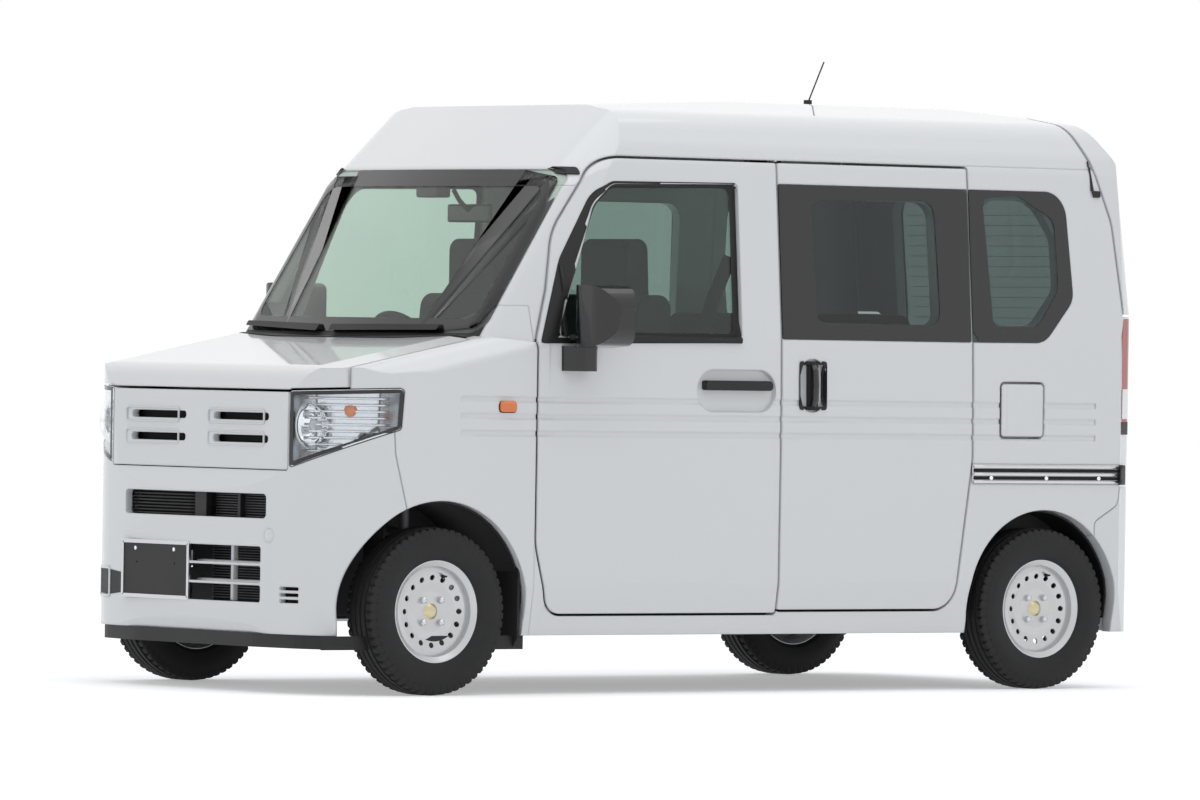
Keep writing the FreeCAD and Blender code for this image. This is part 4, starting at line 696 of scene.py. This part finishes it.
# Tail lamps: a clear block low in the red lens and a black foot, as (zone, look, lowest z, highest z).
LAMP_ZONES = (("clear", white_lens, 0.905, 1.005), ("foot", trim_black, 0.853, 0.895))
ZONE_RADIUS, ZONE_SUNK, ZONE_RISE = 0.004, -0.001, 0.0015


def tail_lamp(side, word):
    low, high = extent("tail_lamps", side)
    tree = tree_of("tail_lamps")
    start_y = low.y + (0.004 if side == LEFT else 0.012)
    for zone, look, z0, z1 in LAMP_ZONES:
        edge = outline(rectangle(low.x + 0.012, z0, high.x - low.x - 0.020, z1 - z0, ZONE_RADIUS), 3, 3)
        pad = raised(edge, lambda lift: on_side(side, lift, tree), ZONE_SUNK, ZONE_RISE, 2)
        piece(f"lamp_side_{zone}_{word}", pad, look)
        edge = outline(rectangle(start_y, z0, high.y - low.y - 0.016, z1 - z0, ZONE_RADIUS), 3, 3)
        pad = raised(edge, lambda lift: on_rear(lift, tree), ZONE_SUNK, ZONE_RISE, 2)
        piece(f"lamp_rear_{zone}_{word}", pad, look)


for side, word in SIDES:
    tail_lamp(side, word)


# Headlamps: a black edge on the lens and, behind it, bowl, bulb, ribs and amber lamp. A turned profile is a
# list of (radius, distance along the axis).
CORNER_X, CORNER_Y, CORNER_SIZE, CORNER_FAR = 1.20, 0.30, 0.45, 2.0
EDGE_STEPS, EDGE_SET_IN, EDGE_WIDTH = 96, 0.002, 0.012
BOWL_Y, BOWL_Z, BOWL_DEPTH = 0.555, 0.855, 0.030
BOWL = ((0.012, -0.050), (0.030, -0.046), (0.050, -0.030), (0.064, -0.008), (0.070, 0.010), (0.074, 0.010))
BULB = ((0.0, 0.006), (0.010, 0.003), (0.016, -0.006), (0.017, -0.030), (0.012, -0.048))
RIBS, RIB_LOW_Z, RIB_PITCH, RIB_MARGIN, RIB_DEPTH, RIB_RADIUS = 9, 0.775, 0.021, 0.03, 0.034, 0.004
AMBER_Y, AMBER_Z, AMBER_DEPTH, AMBER_AXIS = 0.665, 0.905, 0.035, (0.8, 0.6)
AMBER = ((0.0, 0.016), (0.014, 0.011), (0.021, -0.004), (0.019, -0.020))


def on_corner(side, lift, tree):
    """A surface that turns round a front corner, as (distance along the turn, z)."""
    def find(u, z):
        turn = u / CORNER_SIZE
        out = Vector((math.cos(turn), side * math.sin(turn), 0))
        return probe(tree, Vector((CORNER_X, side * CORNER_Y, z)) + out * CORNER_FAR, -out, lift)
    return find


def headlamp(side, word):
    tree = tree_of("headlamp_lenses")
    within = lambda y, z, depth: probe(tree, (FAR_AHEAD, side * y, z), (-1, 0, 0), -depth)
    corners = [(CORNER_SIZE * math.atan2(abs(v.co.y) - CORNER_Y, v.co.x - CORNER_X), v.co.z)
               for v in nodes["headlamp_lenses"].data.vertices if side * v.co.y > 0]
    edge = resample(hull(corners), EDGE_STEPS)
    inner = shrink(edge, EDGE_SET_IN + EDGE_WIDTH)
    lens_edge = band(shrink(edge, EDGE_SET_IN), inner, on_corner(side, GLASS_LIFT, tree), 2)
    piece(f"lamp_edge_{word}", lens_edge, gloss_black, smooth=True)
    centre = within(BOWL_Y, BOWL_Z, BOWL_DEPTH)
    piece(f"lamp_bowl_{word}", lathe(BOWL, centre, (1, 0, 0), 64), chrome, smooth=True)
    piece(f"lamp_bulb_{word}", lathe(BULB, centre, (1, 0, 0), 32), white_lens, smooth=True)
    start = min(u for u, z in corners) + RIB_MARGIN
    length = max(u for u, z in corners) - RIB_MARGIN - start
    ribs = []
    for k in range(RIBS):
        z = RIB_LOW_Z + RIB_PITCH * k
        us = [start + length * t / 14 for t in range(15)]
        line = [on_corner(side, -RIB_DEPTH, tree)(u, z) for u in us if in_outline(inner, u, z)]
        if len(line) > 2:
            ribs.append(swept(line, RIB_RADIUS, sides=6))
    joined(f"lamp_ribs_{word}", ribs, lamp_silver, smooth=True)
    ahead, aside = AMBER_AXIS
    drop = lathe(AMBER, within(AMBER_Y, AMBER_Z, AMBER_DEPTH), (ahead, side * aside, 0), 32)
    piece(f"lamp_amber_{word}", drop, amber_lens, smooth=True)


for side, word in SIDES:
    headlamp(side, word)


# Front: slots of the grille, intakes and small covers of the bumper, with near-black sheets behind the openings
# as painted shade. What lies in an opening follows the front at one of these heights, where the front is closed.
GRILLE_LINE, SLOT_BRIDGE, UPPER_LINE, LOWER_LINE = 0.945, 0.8435, 0.650, 0.543
SLOT_SPANS, SLOT_ROWS = ((-0.400, -0.120), (0.055, 0.350)), (("high", 0.879), ("low", 0.808))
SLOT_HEIGHT, SLOT_LIP_SET_OUT, SLOT_LIP_RADIUS = 0.044, 0.006, 0.0035
SLOT_SHADE_WIDER, SLOT_SHADE_REACH, SLOT_SHADE_DEPTH = 0.015, 0.03, 0.040
LOUVRES, LOUVRE_LOW_Z, LOUVRE_PITCH = 8, 0.560, 0.0105
FIN_PITCH, FIN_RADIUS = 0.0085, 0.0016
UPPER_FINS, UPPER_FIN_LOW_Z, LOWER_FINS, LOWER_FIN_LOW_Z = 10, 0.560, 21, 0.296
UPPER_UPRIGHT, LOWER_UPRIGHT, UPRIGHT_DEEP = (0.552, 0.638), (0.289, 0.470), 0.02
TOW_CAP_PLACE = (0.404, 0.503)
TOW_CAP = ((0.0, 0.004), (0.018, 0.003), (0.021, 0.0), (0.023, 0.0015), (0.025, -0.002))


def behind(depth, height):
    """A sheet that follows the front at one height, depth behind it, as (y, z)."""
    return lambda y, z: Vector((probe(front_tree, (FAR_AHEAD, y, height), (-1, 0, 0)).x - depth, y, z))


# A near-black sheet behind an opening, painted shade that fills the opening.
def shade_sheet_behind(name, y0, y1, z0, z1, depth, height):
    edge = outline(rectangle(y0, z0, y1 - y0, z1 - z0, 0.01), 3, 6)
    piece(name, patch(edge, behind(depth, height), 4), painted_shade_black)


def bars_behind(name, rows, y0, y1, depth, height, radius, look, flat=1.0):
    ys = [y0 + (y1 - y0) * k / 10 for k in range(11)]
    find = behind(depth, height)
    bars = [swept([find(y, z) for y in ys], radius, sides=8, flat=flat, up=(1, 0, 0)) for z in rows]
    joined(name, bars, look, smooth=True)


def upright_behind(name, y, span, depth, height, width, look):
    z0, z1 = span
    x = behind(depth, height)(y, z0).x
    piece(name, slab((x - UPRIGHT_DEEP, y - width / 2, z0), (x, y + width / 2, z1)), look, bevel=0.002)


def grille_slots():
    for k, (y0, y1) in enumerate(SLOT_SPANS):
        for row, z in SLOT_ROWS:
            # Near-black sheet behind each slot: painted shade.
            shade_sheet_behind(f"slot_shade_{row}_{k}", y0 - SLOT_SHADE_WIDER, y1 + SLOT_SHADE_WIDER,
                         z - SLOT_SHADE_REACH, z + SLOT_SHADE_REACH, SLOT_SHADE_DEPTH, GRILLE_LINE)
            lip_edge = outline(rectangle(y0 - SLOT_LIP_SET_OUT, z - SLOT_HEIGHT / 2,
                                         y1 - y0 + 2 * SLOT_LIP_SET_OUT, SLOT_HEIGHT, 0.012), 4, 8)
            lip = [behind(-0.002, SLOT_BRIDGE)(p.x, p.y) for p in lip_edge]
            piece(f"slot_lip_{row}_{k}", swept(lip, SLOT_LIP_RADIUS, closed=True, sides=8), plastic_white,
                  smooth=True)


def upper_intake():
    # Near-black sheet behind the upper intake: painted shade.
    shade_sheet_behind("upper_shade", -0.42, 0.41, 0.535, 0.655, 0.075, UPPER_LINE)
    rows = [LOUVRE_LOW_Z + LOUVRE_PITCH * k for k in range(LOUVRES)]
    bars_behind("louvres", rows, -0.395, -0.020, 0.030, UPPER_LINE, 0.0035, trim_black)
    rows = [UPPER_FIN_LOW_Z + FIN_PITCH * k for k in range(UPPER_FINS)]
    bars_behind("upper_fins", rows, 0.055, 0.385, 0.055, UPPER_LINE, FIN_RADIUS, cast)
    upright_behind("upper_block", 0.015, UPPER_UPRIGHT, 0.022, UPPER_LINE, 0.062, trim_black)
    upright_behind("upper_upright", 0.215, UPPER_UPRIGHT, 0.030, UPPER_LINE, 0.014, trim_black)


def lower_intake():
    # Near-black sheet behind the lower intake: painted shade.
    shade_sheet_behind("lower_shade", -0.03, 0.385, 0.270, 0.490, 0.115, LOWER_LINE)
    rows = [LOWER_FIN_LOW_Z + FIN_PITCH * k for k in range(LOWER_FINS)]
    bars_behind("lower_fins", rows, -0.010, 0.365, 0.095, LOWER_LINE, FIN_RADIUS, cast)
    bars_behind("lower_bars", (0.350, 0.410), -0.012, 0.366, 0.040, LOWER_LINE, 0.008, plastic_white, 0.8)
    upright_behind("lower_upright", 0.175, LOWER_UPRIGHT, 0.036, LOWER_LINE, 0.014, plastic_white)


def bumper_covers():
    """The square cover in its light frame, a near-black sheet behind the vents as painted shade, and the round
    cap.
    """
    edge = outline(rectangle(-0.630, 0.289, 0.133, 0.083, 0.008), 4, 4)
    piece("square_cover", raised(edge, on_front, -0.003, 0.002, 3), trim_black)
    ring = frame_on(shrink(edge, -0.010), edge, on_front, -0.003, 0.004, 2)
    piece("square_cover_frame", ring, plastic_white)
    # Near-black sheet behind the vents: painted shade.
    shade_sheet_behind("vent_shade", 0.448, 0.543, 0.280, 0.354, 0.030, LOWER_LINE)
    foot = on_front()(*TOW_CAP_PLACE)
    out = on_front(0.01)(*TOW_CAP_PLACE) - foot
    piece("tow_cap", lathe(TOW_CAP, foot, out, 32), plastic_white, smooth=True)


LIP_START_Y, LIP_LENGTH, LIP_STEPS, LIP_Z, LIP_HEIGHT = -0.549, 1.249, 40, 0.168, 0.044
LIP_SET_BACK, LIP_FOLLOWS_Z = 0.012, 0.215


def front_lip():
    """The black lip that hangs under the bumper."""
    points = []
    for k in range(LIP_STEPS + 1):
        y = LIP_START_Y + LIP_LENGTH * k / LIP_STEPS
        points.append((on_front()(y, LIP_FOLLOWS_Z).x - LIP_SET_BACK, y, LIP_Z))
    piece("front_lip", ribbon(points, (1, 0, 0), LIP_HEIGHT, 0.010), trim_black)


PLATE_FRAME_SET_OUT, PLATE_FRAME_WIDTH = 0.006, 0.012
BOLT, BOLT_IN, BOLT_DOWN = ((0.0, 0.005), (0.007, 0.005), (0.008, 0.0)), 0.075, 0.022


def plate_frame():
    """A thin frame and two bolts on the blank front plate."""
    low, high = extent("front_plate")
    set_out = PLATE_FRAME_SET_OUT
    edge = outline(rectangle(low.y - set_out, low.z - set_out, high.y - low.y + 2 * set_out,
                             high.z - low.z + 2 * set_out, 0.008), 4, 8)
    ring = frame_on(edge, shrink(edge, PLATE_FRAME_WIDTH), flat_at(high.x), -0.004, 0.003, 2)
    piece("plate_frame", ring, bare_steel)
    bolts = [lathe(BOLT, (high.x, y, high.z - BOLT_DOWN), (1, 0, 0), 6)
             for y in (low.y + BOLT_IN, high.y - BOLT_IN)]
    joined("plate_bolts", bolts, chrome)


grille_slots()
upper_intake()
lower_intake()
bumper_covers()
front_lip()
plate_frame()


# Wheels: tyres with tread, nuts, centre caps and valves.
TREAD_STEPS, NOTCH_EVERY, NOTCH_DEPTH = 232, 4, 0.007
SIDEWALL = ((0.0, 0.62), (0.05, 0.74), (0.10, 0.80), (0.16, 0.83), (0.18, 0.88), (0.23, 0.90), (0.40, 0.98),
            (0.52, 1.0), (0.66, 0.985), (0.76, 0.95))
SHOULDER = ((0.022, 0.925), (0.010, 0.895), (0.003, 0.85), (0.0015, 0.60))
GROOVES, GROOVE_DEPTH = (0.52, 0.17), 0.008
NUT_CIRCLE, NUT = 0.050, ((0.0, 0.016), (0.006, 0.016), (0.0105, 0.013), (0.0105, 0.0))
HUB_PROBE, HUB_CAP = 0.024, ((0.0, 0.010), (0.012, 0.0095), (0.021, 0.006), (0.024, 0.001), (0.027, 0.0))
VALVE_CIRCLE, VALVE_TURN = 0.118, 1.9
VALVE = ((0.0, 0.022), (0.003, 0.022), (0.0035, 0.010), (0.005, 0.008), (0.006, 0.0))


def tyre_profile(bead, radius):
    """Half of a tyre's section from the bead in: (radius, share of the half width, whether notches cut it)."""
    half = [(bead + share * (radius - bead), across, False) for share, across in SIDEWALL]
    half += [(radius - drop, across, True) for drop, across in SHOULDER]
    for groove in GROOVES:
        half += [(radius - 0.001, groove + 0.05, False), (radius - GROOVE_DEPTH, groove + 0.035, False),
                 (radius - GROOVE_DEPTH, groove - 0.035, False), (radius, groove - 0.05, False)]
    return half


def tyre(place, centre):
    """Stands for the plain CAD tyre. The sidewalls are smooth and the tread has sharp edges."""
    node = f"tyre_{place}"
    reach = [math.hypot(v.co.x - centre[0], v.co.z - centre[2]) for v in nodes[node].data.vertices]
    low, high = extent(node)
    half_width, middle = (high.y - low.y) / 2, (high.y + low.y) / 2
    half = tyre_profile(min(reach), max(reach))
    profile = half + [(r, -across, cut) for r, across, cut in half[::-1]]
    points, faces = [], []
    for k in range(TREAD_STEPS):
        turn = 2 * math.pi * k / TREAD_STEPS
        for r, across, cut in profile:
            r = r - NOTCH_DEPTH if cut and k % NOTCH_EVERY == 0 else r
            points.append((centre[0] + r * math.cos(turn), middle + across * half_width,
                           centre[2] + r * math.sin(turn)))
    rows = len(profile)
    for k in range(TREAD_STEPS):
        n = (k + 1) % TREAD_STEPS
        faces += [[k * rows + i, k * rows + i + 1, n * rows + i + 1, n * rows + i] for i in range(rows - 1)]
    made = piece(f"tread_{place}", (points, faces), rubber, body_of(node))
    made.data.polygons.foreach_set("use_smooth", [i % (rows - 1) < 8 or i % (rows - 1) > rows - 11
                                                  for i in range(len(faces))])
    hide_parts(node)


def wheel_fittings(place, side, centre):
    node = f"rim_{place}"
    body, tree, out = body_of(node), tree_of(node), Vector((0, side, 0))
    face = lambda x, z: probe(tree, (x, side * 1.2, z), (0, -side, 0))
    around = lambda radius, turn: face(centre[0] + radius * math.cos(turn),
                                       centre[2] + radius * math.sin(turn))
    nuts = [lathe(NUT, around(NUT_CIRCLE, math.radians(45 + 90 * k)), out, 6) for k in range(4)]
    joined(f"nuts_{place}", nuts, bare_steel, body)
    hub_y = max(face(centre[0] + HUB_PROBE, centre[2]).y * side,
                face(centre[0], centre[2] + HUB_PROBE).y * side)
    cap = lathe(HUB_CAP, (centre[0], side * hub_y, centre[2]), out, 40)
    piece(f"hub_cap_{place}", cap, brass_tint, body, smooth=True)
    valve = lathe(VALVE, around(VALVE_CIRCLE, VALVE_TURN), out, 14)
    piece(f"valve_{place}", valve, rubber, body, smooth=True)


for side, word in SIDES:
    for end, x in (("front", FRONT_X), ("rear", REAR_X)):
        tyre(f"{end}_{word}", (x, side * TRACK_Y, WHEEL_Z))
        wheel_fittings(f"{end}_{word}", side, (x, side * TRACK_Y, WHEEL_Z))


# Cabin: room mirror, camera box, headlining and belts.
MIRROR_LOW, MIRROR_HIGH = (0.588, -0.115, 1.520), (0.606, 0.115, 1.580)
STEM = ((0.604, 0, 1.560), (0.640, 0, 1.590), (0.665, 0, 1.625))
CAMERA_BOX_Z, CAMERA_BOX_LENGTH, CAMERA_BOX_GAP = (1.598, 1.652), 0.057, 0.018
BELT = ((-0.02, 0.60, 1.42), (0.02, 0.575, 1.30), (0.06, 0.54, 1.14), (0.07, 0.50, 0.98))
BELT_WIDTH, BELT_THICK = 0.046, 0.002
LINING = ((0.45, -0.52, 0.1), (0.45, 0.52, 0.1), (-1.30, 0.52, 0.1), (-1.30, -0.52, 0.1))
LINING_GAP = 0.012


def room_mirror():
    piece("room_mirror", slab(MIRROR_LOW, MIRROR_HIGH), gloss_black, bevel=0.008)
    piece("mirror_stem", swept(STEM, 0.008), trim_black, smooth=True)


def camera_box():
    z0, z1 = CAMERA_BOX_Z
    x = on_screen()(0.0, 1.625).x - CAMERA_BOX_GAP
    piece("camera_box", slab((x - CAMERA_BOX_LENGTH, -0.060, z0), (x, 0.060, z1)), trim_black, bevel=0.008)


def headlining():
    roof_tree = tree_of("roof")
    under = lambda x, y: probe(roof_tree, (x, y, 1.2), (0, 0, 1), LINING_GAP)
    piece("headlining", patch(outline(LINING), under, 8), headliner, smooth=True)


def seat_belt(side, word):
    line = [(x, side * y, z) for x, y, z in BELT]
    piece(f"belt_{word}", ribbon(line, (0.8, side * 0.6, 0), BELT_WIDTH, BELT_THICK), cloth)


room_mirror()
camera_box()
headlining()
for side, word in SIDES:
    seat_belt(side, word)


# Rear: handle and blank plate of the tailgate, heating lines on its glass, and reflectors.
GATE_HANDLE = rectangle(-0.17, 1.045, 0.34, 0.045, 0.015)
REAR_PLATE = rectangle(-0.165, 0.800, 0.33, 0.165, 0.010)
HEAT_LINES, HEAT_LOW_Z, HEAT_PITCH, HEAT_YS = 11, 1.24, 0.035, (-0.47, -0.3, -0.1, 0.1, 0.3, 0.47)
REFLECTORS = {LEFT: rectangle(0.555, 0.405, 0.07, 0.032, 0.008),
              RIGHT: rectangle(-0.625, 0.405, 0.07, 0.032, 0.008)}


def rear_trim():
    gate = body_of("tailgate")
    piece("gate_handle", raised(outline(GATE_HANDLE, 4, 6), on_rear, -0.002, 0.012, 3), trim_black, gate)
    piece("rear_plate", raised(outline(REAR_PLATE, 4, 6), on_rear, -0.002, 0.006, 3), trim_black, gate)
    find = on_rear(0.0008)
    lines = [ribbon([find(y, HEAT_LOW_Z + HEAT_PITCH * k) for y in HEAT_YS], (-1, 0, 0), 0.0016, 0.0006)
             for k in range(HEAT_LINES)]
    joined("heating_lines", lines, trim_black, gate)
    for side, word in SIDES:
        edge = outline(REFLECTORS[side], 4, 4)
        piece(f"reflector_{word}", raised(edge, on_rear, -0.002, 0.005, 2), red_lens)


rear_trim()


# Camera, from the perspective of the photograph.
camera_data = bpy.data.cameras.new("camera")
camera = bpy.data.objects.new("camera", camera_data)
bpy.context.scene.collection.objects.link(camera)
bpy.context.scene.camera = camera
CAMERA_PLACE, FOCAL_PIXELS, PICTURE_WIDTH, SENSOR_WIDTH = (19.918, 25.650, 1.132), 9789.9, 1200, 36
yaw, pitch, roll = math.radians(52.2314), 0.00583624, 0.0163949
back = Vector((math.cos(yaw) * math.cos(pitch), math.sin(yaw) * math.cos(pitch), math.sin(pitch)))
level = (-back).cross(Vector((0, 0, 1))).normalized()
rise = level.cross(-back).normalized()
right = level * math.cos(roll) + rise * math.sin(roll)
up = rise * math.cos(roll) - level * math.sin(roll)
axes = [(*row, place) for row, place in zip(zip(right, up, back), CAMERA_PLACE)]
camera.matrix_world = Matrix(axes + [(0, 0, 0, 1)])
camera_data.sensor_width = SENSOR_WIDTH
camera_data.lens = FOCAL_PIXELS / PICTURE_WIDTH * SENSOR_WIDTH
camera_data.clip_end = 200


# Floor, sky and lamps of a white studio.
FLOOR_HALF, FLOOR_LIFT = 60, 0.36


def seen_rays(tree):
    """1 for what the camera, mirrors or glass see, 0 for the light that falls on the van."""
    path = tree.nodes.new("ShaderNodeLightPath")
    total = path.outputs["Is Camera Ray"]
    for name in ("Is Glossy Ray", "Is Transmission Ray"):
        either = tree.nodes.new("ShaderNodeMath")
        either.operation = "MAXIMUM"
        tree.links.new(total, either.inputs[0])
        tree.links.new(path.outputs[name], either.inputs[1])
        total = either.outputs["Value"]
    return total


floor_white = material("floor_white", (0.93, 0.93, 0.935), rough=0.8)
shader = floor_white.node_tree.nodes["Principled BSDF"]
shader.inputs["Emission Color"].default_value = (1, 1, 1, 1)
lift = floor_white.node_tree.nodes.new("ShaderNodeMath")
lift.operation = "MULTIPLY"
lift.inputs[1].default_value = FLOOR_LIFT
floor_white.node_tree.links.new(seen_rays(floor_white.node_tree), lift.inputs[0])
floor_white.node_tree.links.new(lift.outputs["Value"], shader.inputs["Emission Strength"])
floor_corners = [(x * FLOOR_HALF, y * FLOOR_HALF, 0) for x, y in ((-1, -1), (1, -1), (1, 1), (-1, 1))]
floor = piece("floor", (floor_corners, [[0, 1, 2, 3]]), floor_white)
floor.parent = None
floor.matrix_world = Matrix.Identity(4)
del floor["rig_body"]

world = bpy.data.worlds.new("studio")
bpy.context.scene.world = world
world.use_nodes = True
sky = world.node_tree
dome = sky.nodes["Background"]
place = sky.nodes.new("ShaderNodeTexCoord")
parts = sky.nodes.new("ShaderNodeSeparateXYZ")
fade = sky.nodes.new("ShaderNodeMapRange")
for socket, value in (("From Min", -0.2), ("From Max", 1.0), ("To Min", 0.34), ("To Max", 0.86)):
    fade.inputs[socket].default_value = value
plain = sky.nodes.new("ShaderNodeBackground")
plain.inputs["Strength"].default_value = 1.0
plain.inputs["Color"].default_value = (1, 1, 1, 1)
dome.inputs["Color"].default_value = (0.97, 0.985, 1.0, 1)
both = sky.nodes.new("ShaderNodeMixShader")
sky.links.new(place.outputs["Generated"], parts.inputs["Vector"])
sky.links.new(parts.outputs["Z"], fade.inputs["Value"])
sky.links.new(fade.outputs["Result"], dome.inputs["Strength"])
sky.links.new(seen_rays(sky), both.inputs["Fac"])
sky.links.new(dome.outputs["Background"], both.inputs[1])
sky.links.new(plain.outputs["Background"], both.inputs[2])
sky.links.new(both.outputs["Shader"], sky.nodes["World Output"].inputs["Surface"])


def area_light(name, place, aim, width, height, power):
    data = bpy.data.lights.new(name, "AREA")
    data.shape = "RECTANGLE"
    data.size = width
    data.size_y = height
    data.energy = power
    made = bpy.data.objects.new(name, data)
    bpy.context.scene.collection.objects.link(made)
    made.location = place
    made.rotation_euler = (Vector(aim) - Vector(place)).to_track_quat("-Z", "Y").to_euler()


area_light("top_light", (0.5, 1.5, 6.0), (0, 0, 0), 7, 5, 75)
area_light("front_light", (7.0, 2.0, 3.2), (1.0, 0, 0.9), 4, 3, 6)

bpy.context.scene.view_settings.view_transform = "Standard"
